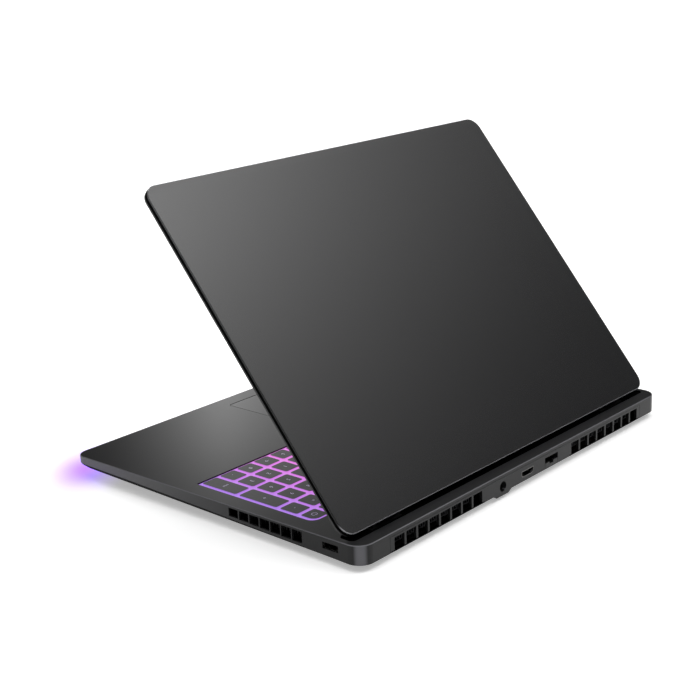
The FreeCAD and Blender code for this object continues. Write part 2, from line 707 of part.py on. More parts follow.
def usb_a_port():
    """Wide USB socket in the right wall, with its contact tongue."""
    x = (SIDE_PORT_INNER_X, SIDE_WALL_INNER_X)
    z = depths(USB_A_DEPTHS)
    shell = box(x, grown(USB_A_Y, PORT_WALL), grown(z, PORT_WALL))
    shell = shell.cut(box((x[0] + PORT_BACK_WALL, x[1] + OVERCUT), USB_A_Y, z))
    tongue = box((x[0], x[1] - TONGUE_SETBACK), grown(USB_A_Y, -TONGUE_INSET), depths(USB_A_TONGUE_DEPTHS))
    return joined([shell, tongue])


def usb_c_port(y):
    """Small oval USB socket in the left wall, with its contact tongue."""
    x = (-SIDE_WALL_INNER_X, -SIDE_PORT_INNER_X)
    z = below(USB_C_DEPTH)
    outer = (USB_C_SIZE[0] + 2 * PORT_WALL, USB_C_SIZE[1] + 2 * PORT_WALL)
    hollow = stadium_x((x[0] - OVERCUT, x[1] - PORT_BACK_WALL), y, z, USB_C_SIZE)
    half = USB_C_SIZE[0] / 2 - TONGUE_INSET
    tongue = box((x[0] + TONGUE_SETBACK, x[1]), (y - half, y + half), grown((z, z), USB_C_TONGUE / 2))
    return joined([stadium_x(x, y, z, outer).cut(hollow), tongue])


def audio_jack():
    """Headset socket: a block with a round blind bore."""
    x = (-SIDE_WALL_INNER_X, -SIDE_PORT_INNER_X)
    z = below(AUDIO_DEPTH)
    block = box(x, grown((AUDIO_Y, AUDIO_Y), AUDIO_BLOCK_HALF[0]), grown((z, z), AUDIO_BLOCK_HALF[1]))
    return block.cut(rod_x(AUDIO_R, (x[0] - OVERCUT, -HALF_WIDTH + AUDIO_LENGTH), AUDIO_Y, z))


def spans(start, widths):
    """Left and right edges of keys that stand in a row."""
    edges = []
    for width in widths:
        edges.append((start, start + width))
        start += width
    return edges


def columns(first, count):
    """Edges of a run of keys on the number pad's columns, counted from its left edge."""
    return spans(NUMPAD_LEFT + first * KEY_COLUMN, (KEY_COLUMN,) * count)


def row(index, last=None):
    """Front and rear edges of a row, or of two rows taken together."""
    return (ROW_EDGES[index], ROW_EDGES[(index if last is None else last) + 1])


def key_layout():
    """Every key as (x range, y range) under the name of the piece that holds it."""
    bottom = spans(KEY_LEFT, (CTRL_WIDTH,) + (KEY_UNIT,) * 3 + (SPACE_WIDTH,))
    after_space = (ARROW_LEFT - bottom[-1][1]) / 2
    bottom += spans(bottom[-1][1], (after_space,) * 2) + columns(-2, 5)
    shift_rest = MAIN_WIDTH - SHIFT_WIDTH - LOWER_KEYS * KEY_UNIT - KEY_COLUMN
    lower = spans(KEY_LEFT, (SHIFT_WIDTH,) + (KEY_UNIT,) * LOWER_KEYS + (shift_rest, KEY_COLUMN))
    lower += columns(0, 3)
    home = spans(KEY_LEFT, (CAPS_WIDTH,) + (KEY_UNIT,) * HOME_KEYS)
    enter = (home[-1][1], NUMPAD_LEFT)
    home += columns(0, 3)
    upper_rest = MAIN_WIDTH - TAB_WIDTH - UPPER_KEYS * KEY_UNIT
    upper = spans(KEY_LEFT, (TAB_WIDTH,) + (KEY_UNIT,) * UPPER_KEYS + (upper_rest,)) + columns(0, 3)
    number_rest = MAIN_WIDTH - NUMBER_KEYS * KEY_UNIT
    number = spans(KEY_LEFT, (KEY_UNIT,) * NUMBER_KEYS + (number_rest,)) + columns(0, 4)
    function = spans(KEY_LEFT, (MAIN_WIDTH / FUNCTION_KEYS,) * FUNCTION_KEYS) + columns(0, 3)
    last_column = columns(3, 1)[0]
    space = bottom.pop(4)
    return {
        "bottom_row_keys": [(x, row(0)) for x in bottom],
        "lower_row_keys": [(x, row(1)) for x in lower],
        "home_row_keys": [(x, row(2)) for x in home],
        "upper_row_keys": [(x, row(3)) for x in upper],
        "number_row_keys": [(x, row(4)) for x in number],
        "function_row_keys": [(x, row(5)) for x in function],
        "space_bar": [(space, row(0))],
        "enter_key": [(enter, row(2))],
        "numpad_enter_key": [(last_column, row(0, 1))],
        "numpad_plus_key": [(last_column, row(2, 3))],
        "power_key": [(last_column, row(5))],
    }


def key_corners(name, grow):
    """Corner radii of a key; the power key follows the rounded corner of the opening."""
    small = KEY_CORNER + grow
    return (small, small, POWER_KEY_CORNER + grow, small) if name == "power_key" else (small,) * 4


def keycap(name, x, y):
    """One key with softened upper edges."""
    cap = rounded(grown(x, -KEY_GAP / 2), grown(y, -KEY_GAP / 2), (KEY_TOP_Z - KEY_HEIGHT, KEY_TOP_Z),
                  key_corners(name, 0))
    return cap.makeFillet(KEY_EDGE, edges_at(cap, KEY_TOP_Z))


def key_light_grid(layout):
    """Milky light guide: a plate with ribs that stand between the keys."""
    grid = rounded(grown(KEY_OPENING_X, -GRID_SIDE_GAP), grown(KEY_OPENING_Y, -GRID_SIDE_GAP),
                   (TRAY_FLOOR_Z, GRID_TOP_Z), tuple(r - GRID_SIDE_GAP for r in KEY_OPENING_CORNERS))
    room = KEY_CLEARANCE - KEY_GAP / 2
    pockets = []
    for name, keys in layout.items():
        for x, y in keys:
            pockets.append(rounded(grown(x, room), grown(y, room), (GRID_FLOOR_Z, DECK_Z),
                                   key_corners(name, KEY_CLEARANCE)))
    return grid.cut(pockets)


def keyboard_tray():
    """Steel tray under the keys, hung from the deck by its rim."""
    x = grown(KEY_OPENING_X, TRAY_MARGIN)
    y = grown(KEY_OPENING_Y, TRAY_MARGIN)
    tray = box(x, y, (TRAY_UNDER, SKIN_UNDER))
    return tray.cut(box(grown(x, -TRAY_RIM), grown(y, -TRAY_RIM), (TRAY_FLOOR_Z, DECK_Z)))


def touchpad():
    """Glass-topped pad that clicks down at its front edge."""
    pad = rounded(grown(PAD_OPENING_X, -PAD_GAP), grown(PAD_OPENING_Y, -PAD_GAP),
                  (PAD_TOP_Z - PAD_THICKNESS, PAD_TOP_Z), PAD_CORNER - PAD_GAP)
    return pad.makeChamfer(EDGE_CHAMFER / 2, edges_at(pad, PAD_TOP_Z))


def touchpad_frame():
    """Pressed bracket that carries the pad under the palm rest."""
    x = grown(PAD_OPENING_X, PAD_FRAME_MARGIN)
    y = grown(PAD_OPENING_Y, PAD_FRAME_MARGIN)
    frame = box(x, y, (PAD_FRAME_Z[0], SKIN_UNDER))
    return frame.cut(box(grown(x, -TRAY_RIM), grown(y, -TRAY_RIM), (PAD_FRAME_Z[1], DECK_Z)))


def fan_housing():
    """Right blower case, open to the rear and to the side, with the rotor's axle."""
    cx, cy = FAN_CENTRE
    x = (cx - FAN_HALF, cx + FAN_HALF)
    y = (cy - FAN_HALF, cy + FAN_HALF)
    inner_z = grown(FAN_Z, -FAN_PLATE)
    mouth = FAN_BLADE_R - FAN_MOUTH_OVERLAP
    case = box(x, y, FAN_Z)
    cutters = [
        rod_z(FAN_CAVITY_R, cx, cy, inner_z),
        rod_z(FAN_INTAKE_R, cx, cy, (FAN_Z[0] - OVERCUT, inner_z[0] + OVERCUT)),
        box((cx - FAN_CAVITY_R, cx + FAN_CAVITY_R), (cy + mouth, y[1] + OVERCUT), inner_z),
        box((cx + mouth, x[1] + OVERCUT), (cy - FAN_CAVITY_R, cy + FAN_CAVITY_R), inner_z),
    ]
    axle = rod_z(FAN_AXLE_R, cx, cy, (inner_z[0], inner_z[1] + FAN_PLATE / 2))
    return joined([case.cut(cutters), axle])


def fan_rotor():
    """Right blower wheel: a hub with swept blades, running on the axle."""
    cx, cy = FAN_CENTRE
    z = grown(FAN_Z, -FAN_PLATE - FAN_GAP)
    blades = []
    for i in range(FAN_BLADES):
        blade = box((FAN_HUB_R - FAN_BLADE_ROOT, FAN_BLADE_R), both_ways(FAN_BLADE / 2), z)
        blade.rotate(Vector(FAN_HUB_R, 0, 0), Vector(0, 0, 1), FAN_BLADE_SWEEP)
        blade.rotate(Vector(0, 0, 0), Vector(0, 0, 1), i * 360 / FAN_BLADES)
        blade.translate(Vector(cx, cy, 0))
        blades.append(blade)
    hub = rod_z(FAN_HUB_R, cx, cy, z)
    return joined([hub] + blades).cut(rod_z(FAN_AXLE_R + RUN_CLEARANCE, cx, cy, grown(z, OVERCUT)))


def fin_comb(along, across, z, lengthwise):
    """Stack of thin fins on a base plate; the fins stand across its length."""
    count = int((along[1] - along[0]) / FIN_PITCH)
    plates = []
    for i in range(count):
        start = along[0] + i * FIN_PITCH
        fin = (start, start + FIN)
        plates.append(box(fin, across, z) if lengthwise == "x" else box(across, fin, z))
    base_z = (z[0], z[0] + FIN_BASE)
    whole = (along[0], along[0] + (count - 1) * FIN_PITCH + FIN)
    base = box(whole, across, base_z) if lengthwise == "x" else box(across, whole, base_z)
    return joined([base] + plates)


def fin_stack():
    """Right-hand fins: one comb at the rear vent and one at the side vent."""
    rear = fin_comb(REAR_FINS_X, REAR_FINS_Y, (FIN_UNDER, TROUGH_UNDER), "x")
    side = fin_comb(SIDE_FINS_Y, SIDE_FINS_X, (SIDE_FINS_UNDER, TRAY_UNDER), "y")
    return [rear, side]


def heat_pipe(offset):
    """Flattened pipe from the left rear fins, over the chips, to the right rear fins."""
    fin_y = PIPE_FIN_Y + offset
    core_y = PIPE_CORE_Y + offset
    slope_x = PIPE_CORE_X + fin_y - core_y
    route = [(-PIPE_END_X, fin_y), (-slope_x, fin_y), (-PIPE_CORE_X, core_y),
             (PIPE_CORE_X, core_y), (slope_x, fin_y), (PIPE_END_X, fin_y)]
    z = (FIN_UNDER - PIPE_THICKNESS, FIN_UNDER)
    pieces = [rod_z(PIPE_WIDTH / 2, x, y, z) for x, y in route]
    for (x0, y0), (x1, y1) in zip(route, route[1:]):
        length = math.hypot(x1 - x0, y1 - y0)
        run = box((0, length), both_ways(PIPE_WIDTH / 2), z)
        run.rotate(Vector(0, 0, 0), Vector(0, 0, 1), math.degrees(math.atan2(y1 - y0, x1 - x0)))
        run.translate(Vector(x0, y0, 0))
        pieces.append(run)
    return joined(pieces)


def motherboard():
    """Main board with its standoffs and the sockets of the plug-in cards."""
    under = BOARD_Z[0]
    pieces = [box(*BOARD_CORE, BOARD_Z), box(*BOARD_WINGS, BOARD_Z)]
    pieces += [rod_z(STANDOFF_R, x, y, (BOARD_Z[1], TRAY_UNDER)) for x, y in STANDOFFS]
    pieces.append(box(MEMORY_X, MEMORY_SOCKET_Y, (under - MEMORY_SOCKET, under)))
    card_z = (under - CARD_STANDOFF - CARD_THICKNESS, under)
    pieces.append(box((DRIVE_X[0] - CARD_SOCKET, DRIVE_X[0]), DRIVE_Y, card_z))
    pieces.append(box((WIRELESS_X[1], WIRELESS_X[1] + CARD_SOCKET), WIRELESS_Y, card_z))
    return joined(pieces)


def plug_in_card(x, y):
    """Storage or radio card, standing off the board."""
    top = BOARD_Z[0] - CARD_STANDOFF
    return box(x, y, (top - CARD_THICKNESS, top))


def memory_modules():
    """Two memory modules, one above the other."""
    under = BOARD_Z[0]
    return [box(MEMORY_X, MEMORY_Y, (under - gap - MEMORY_THICKNESS, under - gap)) for gap in MEMORY_GAPS]


def battery_pack():
    """Flat cells side by side in one sleeve."""
    pack = box(BATTERY_X, BATTERY_Y, BATTERY_Z)
    pitch = (BATTERY_X[1] - BATTERY_X[0]) / BATTERY_CELLS
    groove_z = (BATTERY_Z[0] - OVERCUT, BATTERY_Z[0] + BATTERY_GROOVE)
    grooves = []
    for i in range(1, BATTERY_CELLS):
        x = BATTERY_X[0] + i * pitch
        grooves.append(box(grown((x, x), BATTERY_GROOVE_HALF), grown(BATTERY_Y, OVERCUT), groove_z))
    return pack.cut(grooves)


def speaker():
    """Right speaker box with the ring of its cone facing down."""
    case = rounded(SPEAKER_X, SPEAKER_Y, (SPEAKER_UNDER, SKIN_UNDER), SPEAKER_CORNER)
    mid_x = sum(SPEAKER_X) / 2
    mid_y = sum(SPEAKER_Y) / 2
    groove_z = (SPEAKER_UNDER - OVERCUT, SPEAKER_UNDER + SPEAKER_CONE_GROOVE)
    ring = rod_z(SPEAKER_CONE_R, mid_x, mid_y, groove_z)
    cone = rod_z(SPEAKER_CONE_R - SPEAKER_CONE_RIM, mid_x, mid_y, grown(groove_z, OVERCUT))
    return case.cut(ring.cut(cone))


def hinge_bracket():
    """Right base bracket: foot plate, leaning arm and the middle knuckle."""
    floor = below(TROUGH_DEPTH)
    foot = box(HINGE_X, HINGE_FOOT_Y, (floor, floor + HINGE_FOOT))
    arm = box(HINGE_MID_X, both_ways(HINGE_ARM / 2), (-2 * HINGE_Z, 0))
    arm.rotate(Vector(0, 0, 0), Vector(1, 0, 0), -HINGE_ARM_LEAN)
    arm.translate(Vector(0, HINGE_Y, HINGE_Z))
    arm = arm.common(box(HINGE_X, TROUGH_Y, (floor, HINGE_Z + KNUCKLE_R)))
    knuckle = rod_x(KNUCKLE_R, HINGE_MID_X, HINGE_Y, HINGE_Z)
    cutters = [rod_x(HINGE_PIN_R, grown(HINGE_MID_X, OVERCUT), HINGE_Y, HINGE_Z)]
    cutters += [rod_z(SMALL_SCREW_R, x, HINGE_SCREW_Y, (floor - OVERCUT, DECK_Z)) for x in HINGE_SCREW_X]
    return joined([foot, arm, knuckle]).cut(cutters)


def hinge_leaf():
    """Right lid leaf: a plate against the lid's back with two knuckles round the pin."""
    z = (LID_INNER_Z - HINGE_LEAF, LID_INNER_Z)
    plate = box(HINGE_X, (HINGE_Y - HINGE_LEAF_REACH, HINGE_Y), z)
    mid = grown(HINGE_MID_X, HINGE_SIDE_GAP)
    plate = plate.cut(box(mid, (HINGE_Y - KNUCKLE_R - OVERCUT, HINGE_Y + OVERCUT), grown(z, OVERCUT)))
    runs = ((HINGE_X[0], mid[0]), (mid[1], HINGE_X[1]))
    knuckles = [rod_x(KNUCKLE_R, x, HINGE_Y, HINGE_Z) for x in runs]
    cutters = [rod_x(HINGE_PIN_R + RUN_CLEARANCE, grown(HINGE_X, OVERCUT), HINGE_Y, HINGE_Z)]
    cutters += [rod_z(SMALL_SCREW_R, x, LEAF_SCREW_Y, grown(z, OVERCUT)) for x in HINGE_SCREW_X]
    return joined([plate] + knuckles).cut(cutters)


def screw(x, y, head_z, tip_z):
    """Small screw between the far side of its head and its tip."""
    way = 1 if tip_z > head_z else -1
    seat = head_z + way * SMALL_HEAD
    head = rod_z(SMALL_HEAD_R, x, y, tuple(sorted((head_z, seat))))
    return joined([head, rod_z(SMALL_SCREW_R, x, y, tuple(sorted((seat, tip_z))))])


def hinge_screws():
    """Screws of the base brackets and of the lid leaves."""
    foot_top = below(TROUGH_DEPTH) + HINGE_FOOT
    leaf_under = LID_INNER_Z - HINGE_LEAF
    in_base = []
    in_lid = []
    for x in HINGE_SCREW_X:
        in_base += on_both_sides(screw(x, HINGE_SCREW_Y, foot_top + SMALL_HEAD, TROUGH_UNDER))
        in_lid += on_both_sides(screw(x, LEAF_SCREW_Y, leaf_under - SMALL_HEAD, LID_INNER_Z))
    return in_base, in_lid


def up_lid(reach):
    """Depth range of a strip of the closed lid, measured from its hinge edge."""
    return (LID_REAR_Y - reach[1], LID_REAR_Y - reach[0])


def lid_plan(inset, z):
    """The lid's plan outline, drawn in by an inset."""
    y = (LID_REAR_Y - LID_DEPTH + inset, LID_REAR_Y - inset)
    return rounded(both_ways(HALF_WIDTH - inset), y, z, LID_CORNER - inset)


def hinge_notches(reach, z):
    """Room for the hinges at the lid's rear edge."""
    notch = box(grown(HINGE_X, HINGE_SIDE_GAP), (LID_REAR_Y - reach, LID_REAR_Y + OVERCUT), z)
    return on_both_sides(notch)


def lid_back_cover():
    """Back of the lid: a shallow shell with a softened edge and a sloping top band."""
    shell = lid_plan(0, (LID_SPLIT_Z, LID_FACE_Z))
    shell = shell.makeChamfer(EDGE_CHAMFER, edges_at(shell, LID_FACE_Z))
    top_y = LID_REAR_Y - LID_DEPTH
    band = prism_x([(top_y + CROWN_BAND, LID_FACE_Z), (top_y, LID_FACE_Z - CROWN_DROP),
                    (top_y, LID_FACE_Z + OVERCUT), (top_y + CROWN_BAND, LID_FACE_Z + OVERCUT)],
                   both_ways(HALF_WIDTH))
    cutters = [band, lid_plan(LID_WALL, (DECK_Z, LID_INNER_Z))]
    cutters += hinge_notches(2 * LID_WALL, (DECK_Z, LID_INNER_Z))
    pocket = box(grown(HINGE_MID_X, HINGE_SIDE_GAP), (LID_REAR_Y - HINGE_NOTCH, LID_REAR_Y + OVERCUT),
                 (LID_INNER_Z - OVERCUT, LID_INNER_Z + HINGE_POCKET))
    return shell.cut(cutters + on_both_sides(pocket))


def screen_bezel():
    """Frame round the screen, with a sloping outer edge and a hole for the webcam."""
    frame = lid_plan(BEZEL_INSET, (BEZEL_FACE_Z, LID_SPLIT_Z))
    frame = frame.makeChamfer(BEZEL_TAPER, edges_at(frame, BEZEL_FACE_Z))
    through = (DECK_Z, LID_FACE_Z)
    lens_y = sum(up_lid(TOP_STRIP_REACH)) / 2
    cutters = [lid_plan(BEZEL_RIM, (BEZEL_BACK_Z, LID_FACE_Z)),
               box(both_ways(SCREEN_HALF), up_lid(SCREEN_REACH), through),
               rod_z(WEBCAM_LENS_R + RUN_CLEARANCE, 0, lens_y, through)]
    return frame.cut(cutters + hinge_notches(HINGE_NOTCH, through))


def lid_gasket():
    """Soft rim on the bezel that meets the deck when the lid is shut."""
    z = (BEZEL_FACE_Z - GASKET_HEIGHT, BEZEL_FACE_Z)
    reach = (SCREEN_REACH[0] - 2 * GASKET_WIDTH, LID_DEPTH - GASKET_INSET)
    x = both_ways(HALF_WIDTH - GASKET_INSET)
    rim = rounded(x, up_lid(reach), z, LID_CORNER - GASKET_INSET)
    inner = rounded(grown(x, -GASKET_WIDTH), grown(up_lid(reach), -GASKET_WIDTH), grown(z, OVERCUT),
                    LID_CORNER - GASKET_INSET - GASKET_WIDTH)
    return rim.cut(inner)


def screen_layers():
    """The panel's glass and the lighting unit behind it."""
    x = both_ways(SCREEN_HALF + PANEL_MARGIN)
    y = grown(up_lid(SCREEN_REACH), PANEL_MARGIN)
    glass_back = BEZEL_BACK_Z + GLASS_THICKNESS
    return box(x, y, (BEZEL_BACK_Z, glass_back)), box(x, y, (glass_back, LID_INNER_Z))


def webcam_module():
    """Webcam board above the screen, with its lens in the bezel's hole."""
    y = up_lid(TOP_STRIP_REACH)
    board = box(both_ways(WEBCAM_HALF), y, (BEZEL_BACK_Z, LID_INNER_Z))
    lens = rod_z(WEBCAM_LENS_R, 0, sum(y) / 2, (BEZEL_FACE_Z + LENS_RECESS, BEZEL_BACK_Z + LENS_RECESS))
    return joined([board, lens])


def wifi_aerials():
    """Two strip aerials along the top of the lid."""
    z = (LID_INNER_Z - AERIAL_THICKNESS, LID_INNER_Z)
    return on_both_sides(box(AERIAL_X, up_lid(TOP_STRIP_REACH), z))


def save_pair(end, shape):
    """Write a right-hand piece and its mirror image as two nodes."""
    save("right_" + end, shape)
    save("left_" + end, mirrored(shape))


def build_lid():
    """Write the pieces that turn with the lid."""
    glass, panel = screen_layers()
    save("lid_back_cover", opened(lid_back_cover()))
    save("screen_bezel", opened(screen_bezel()))
    save("screen_glass", opened(glass))
    save("screen_panel", opened(panel))
    save("webcam_module", opened(webcam_module()))
    save("lid_gasket", opened(lid_gasket()))
    save("wifi_aerials", *[opened(s) for s in wifi_aerials()])
    leaf = hinge_leaf()
    save("right_hinge_leaf", opened(leaf))
    save("left_hinge_leaf", opened(mirrored(leaf)))


def build_hinges():
    """Write the base's half of the hinges, the pins and all hinge screws."""
    save_pair("hinge_bracket", hinge_bracket())
    save("hinge_pins", *on_both_sides(rod_x(HINGE_PIN_R, HINGE_X, HINGE_Y, HINGE_Z)))
    in_base, in_lid = hinge_screws()
    save("bracket_screws", *in_base)
    save("leaf_screws", *[opened(s) for s in in_lid])


def build_casing():
    """Write the base's shells, grilles, feet and screws."""
    rear_foot, front_feet = feet()
    save("top_case", top_case())
    save("bottom_cover", bottom_cover())
    save("cover_screws", *cover_screws())
    save("rear_grille", rear_grille())
    save("intake_grilles", *on_both_sides(intake_grille()))
    save("rear_foot", rear_foot)
    save("front_feet", *front_feet)
    save("light_bar", light_bar())


def build_keyboard():
    """Write the keys, the light guide, the tray and the touchpad."""
    layout = key_layout()
    for name, keys in layout.items():
        save(name, *[keycap(name, x, y) for x, y in keys])
    save("key_light_grid", key_light_grid(layout))
    save("keyboard_tray", keyboard_tray())
    save("touchpad", touchpad())
    save("touchpad_frame", touchpad_frame())


def build_ports():
    """Write the sockets in the rear and in the sides."""
    save("dc_jack", dc_jack())
    save("video_port", video_port())
    save("ethernet_socket", ethernet_socket())
    save("ethernet_jaw", ethernet_jaw())
    save("usb_a_port", usb_a_port())
    save("usb_c_ports", *[usb_c_port(y) for y in USB_C_CENTRES])
    save("audio_jack", audio_jack())


def build_insides():
    """Write the electronics, the battery, the speakers and the cooling."""
    board_under = BOARD_Z[0]
    chip_z = (board_under - CHIP_THICKNESS, board_under)
    save("motherboard", motherboard())
    save("graphics_chip", box(*CHIPS[0], chip_z))
    save("processor", box(*CHIPS[1], chip_z))
    save("cold_plate", box(*COLD_PLATE, (FIN_UNDER, chip_z[0])))
    save("heat_pipes", *[heat_pipe(i * PIPE_PITCH) for i in range(PIPES)])
    save("memory_modules", *memory_modules())
    save("solid_state_drive", plug_in_card(DRIVE_X, DRIVE_Y))
    save("wireless_card", plug_in_card(WIRELESS_X, WIRELESS_Y))
    save("battery_pack", battery_pack())
    save("speakers", *on_both_sides(speaker()))
    save_pair("fan_housing", fan_housing())
    save_pair("fan_rotor", fan_rotor())
    fins = fin_stack()
    save("right_fin_stack", *fins)
    save("left_fin_stack", *[mirrored(s) for s in fins])


os.makedirs("parts", exist_ok=True)
build_casing()
build_lid()
build_hinges()
build_keyboard()
build_ports()
build_insides()
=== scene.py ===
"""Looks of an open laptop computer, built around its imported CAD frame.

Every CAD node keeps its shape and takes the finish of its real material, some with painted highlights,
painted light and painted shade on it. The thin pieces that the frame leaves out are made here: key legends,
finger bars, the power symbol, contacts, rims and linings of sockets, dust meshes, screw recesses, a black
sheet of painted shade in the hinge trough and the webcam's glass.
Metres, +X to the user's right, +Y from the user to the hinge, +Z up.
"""

import json
import logging
import math
from collections.abc import Iterable, Sequence
from dataclasses import dataclass, field, replace
from enum import Enum

import bmesh
import bpy
from bpy.types import ID, Material, Mesh, Node, NodeSocket, NodeTree, Object
from mathutils import Matrix, Quaternion, Vector


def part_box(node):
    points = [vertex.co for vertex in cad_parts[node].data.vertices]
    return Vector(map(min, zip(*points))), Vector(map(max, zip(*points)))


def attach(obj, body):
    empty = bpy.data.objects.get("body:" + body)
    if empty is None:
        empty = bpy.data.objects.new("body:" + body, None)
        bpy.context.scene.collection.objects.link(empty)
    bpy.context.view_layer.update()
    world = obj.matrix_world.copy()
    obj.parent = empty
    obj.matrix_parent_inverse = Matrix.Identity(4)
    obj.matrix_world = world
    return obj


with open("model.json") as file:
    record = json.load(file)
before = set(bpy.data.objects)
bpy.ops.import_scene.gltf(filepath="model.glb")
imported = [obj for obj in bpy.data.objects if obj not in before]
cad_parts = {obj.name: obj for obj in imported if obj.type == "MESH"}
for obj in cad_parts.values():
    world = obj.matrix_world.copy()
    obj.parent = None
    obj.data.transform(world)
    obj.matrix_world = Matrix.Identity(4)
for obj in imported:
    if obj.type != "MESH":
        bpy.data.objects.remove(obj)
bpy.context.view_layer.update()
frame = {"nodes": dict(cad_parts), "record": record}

LOG = logging.getLogger("laptop")
MM = 0.001
# Points closer than this are joined into one.
WELD = 1e-6
# Steps round a small rounded edge, and sides of a turned piece.
ROUND_STEPS = 2
TURN_SIDES = 32
# Octaves in the noise of a finish's grain.
GRAIN_DETAIL = 2.0
# Sum of two noises from which the first tone of a finish goes to the second.
TONE_SPAN = (0.6, 1.4)
# Values of one noise from which the lowest roughness of a finish goes to the highest.
GLOSS_SPAN = (0.3, 0.7)
# Edges that turn by less than this are shaded as one curved face.
SMOOTH_ANGLE = math.radians(35)
# The lid's hinge axis, and how far the lid is turned open at rest.
HINGE_MM = (0.0, 119.26, 20.8)
LID_OPEN = 50.8
# Cosine of the 45 degrees by which a chamfer or a corner leans.
LEAN = math.sqrt(0.5)

Box = tuple[Vector, Vector]
Colour = tuple[float, float, float, float]
Names = tuple[str, ...]
Span = tuple[float, float]
Spans = tuple[Span, ...]
Stops = Sequence[tuple[float, Colour]]
Triple = tuple[float, float, float]


class Legend(Enum):
    """Sizes of lettering on the keys, in millimetres of font size."""

    LETTER = 4.6
    PAIR = 3.0
    WORD = 2.5


class Wall(Enum):
    """Walls of the base with sockets, and the way each faces."""

    REAR = (0.0, 1.0, 0.0)
    LEFT = (-1.0, 0.0, 0.0)
    RIGHT = (1.0, 0.0, 0.0)


def linear(code: str) -> Colour:
    """Turn an sRGB hex colour into a linear one.

    Args:
        code: The colour as "#rrggbb".

    Returns:
        Linear red, green, blue and an alpha of 1.
    """
    channels = [int(code[i:i + 2], 16) / 255 for i in (1, 3, 5)]
    red, green, blue = (c / 12.92 if c <= 0.04045 else ((c + 0.055) / 1.055) ** 2.4 for c in channels)
    return (red, green, blue, 1.0)


def grey(level: float) -> Colour:
    """Make a linear grey of one level."""
    return (level, level, level, 1.0)


def add_node(tree: NodeTree, kind: str, sockets: dict | Sequence = (), stops: Stops = (),
             **settings: object) -> Node:
    """Add one node with its settings, socket values, links and ramp stops.

    Args:
        tree: The node tree that gets the node.
        kind: The node's type name.
        sockets: Values of the first inputs in order, or of any inputs by name or index. An output
            socket is linked, and so is a node, which stands for its first output.
        stops: Places and colours of a colour ramp.
        settings: Properties of the node itself.

    Returns:
        The new node.
    """
    node = tree.nodes.new(kind)
    for name, value in settings.items():
        setattr(node, name, value)
    given = sockets if isinstance(sockets, dict) else dict(enumerate(sockets))
    for key, value in given.items():
        source = value.outputs[0] if isinstance(value, Node) else value
        if isinstance(source, NodeSocket):
            tree.links.new(source, node.inputs[key])
        else:
            node.inputs[key].default_value = source
    if stops:
        elements = node.color_ramp.elements
        elements.remove(elements[1])
        elements[0].position, elements[0].color = stops[0]
        for place, colour in stops[1:]:
            elements.new(place).color = colour
    return node


def empty_tree(owner: ID) -> NodeTree:
    """Switch a material, world or lamp to nodes and clear its tree.

    Args:
        owner: What the nodes belong to.

    Returns:
        Its empty node tree.
    """
    owner.use_nodes = True
    owner.node_tree.nodes.clear()
    return owner.node_tree


@dataclass(frozen=True)
class Finish:
    """A real material: two close tones, a grain, a slow drift and how rough it is."""

    name: str
    tones: tuple[str, str]
    roughness: Span
    grain_mm: float
    relief_mm: float = 0.0
    metallic: float = 0.0
    ior: float = 1.5
    specular: float = 0.5
    drift_mm: float = 70.0
    stretch: Triple = (1.0, 1.0, 1.0)

    def material(self) -> Material:
        """Give the finish's material, built on first use."""
        return bpy.data.materials.get(self.name) or self.build()

    def build(self) -> Material:
        """Build the material's nodes.

        Returns:
            The new material.
        """
        material = bpy.data.materials.new(self.name)
        tree = empty_tree(material)
        shader = add_node(tree, "ShaderNodeBsdfPrincipled",
                          {"Metallic": self.metallic, "Specular IOR Level": self.specular})
        if not self.metallic:
            shader.inputs["IOR"].default_value = self.ior
        self.paint(tree, shader)
        add_node(tree, "ShaderNodeOutputMaterial", {"Surface": shader})
        return material

    def paint(self, tree: NodeTree, shader: Node) -> None:
        """Feed the shader's colour, roughness and normal from the grain.

        Args:
            tree: The material's node tree.
            shader: The Principled shader.
        """
        place = add_node(tree, "ShaderNodeTexCoord").outputs["Object"]
        scale = [s / (self.grain_mm * MM) for s in self.stretch]
        drawn = add_node(tree, "ShaderNodeMapping", {"Vector": place, "Scale": scale})
        grain = add_node(tree, "ShaderNodeTexNoise", {"Vector": drawn, "Scale": 1.0, "Detail": GRAIN_DETAIL})
        drift = add_node(tree, "ShaderNodeTexNoise", {"Vector": place, "Scale": 1 / (self.drift_mm * MM)})
        both = add_node(tree, "ShaderNodeMath", [grain, drift], operation="ADD")
        share = add_node(tree, "ShaderNodeMapRange", [both, *TONE_SPAN])
        tint = add_node(tree, "ShaderNodeValToRGB", [share], stops=list(enumerate(map(linear, self.tones))))
        gloss = add_node(tree, "ShaderNodeMapRange", [grain, *GLOSS_SPAN, *self.roughness])
        tree.links.new(tint.outputs["Color"], shader.inputs["Base Color"])
        tree.links.new(gloss.outputs[0], shader.inputs["Roughness"])
        if self.relief_mm:
            relief = add_node(tree, "ShaderNodeBump", {"Height": grain, "Distance": self.relief_mm * MM})
            tree.links.new(relief.outputs["Normal"], shader.inputs["Normal"])

    def overlay(self, tree: NodeTree, shader: Node, share: Node | NodeSocket, tone: str) -> None:
        """Lay another tone over the base colour.

        Args:
            tree: The material's node tree.
            shader: The Principled shader.
            share: How much of the tone shows, from 0 to 1.
            tone: The tone.
        """
        below = shader.inputs["Base Color"].links[0].from_socket
        mixed = add_node(tree, "ShaderNodeMix", {0: share, 6: below, 7: linear(tone)}, data_type="RGBA")
        tree.links.new(mixed.outputs[2], shader.inputs["Base Color"])


@dataclass(frozen=True)
class Metal(Finish):
    """A bare or plated metal, which keeps the shader's own IOR."""

    metallic: float = 1.0


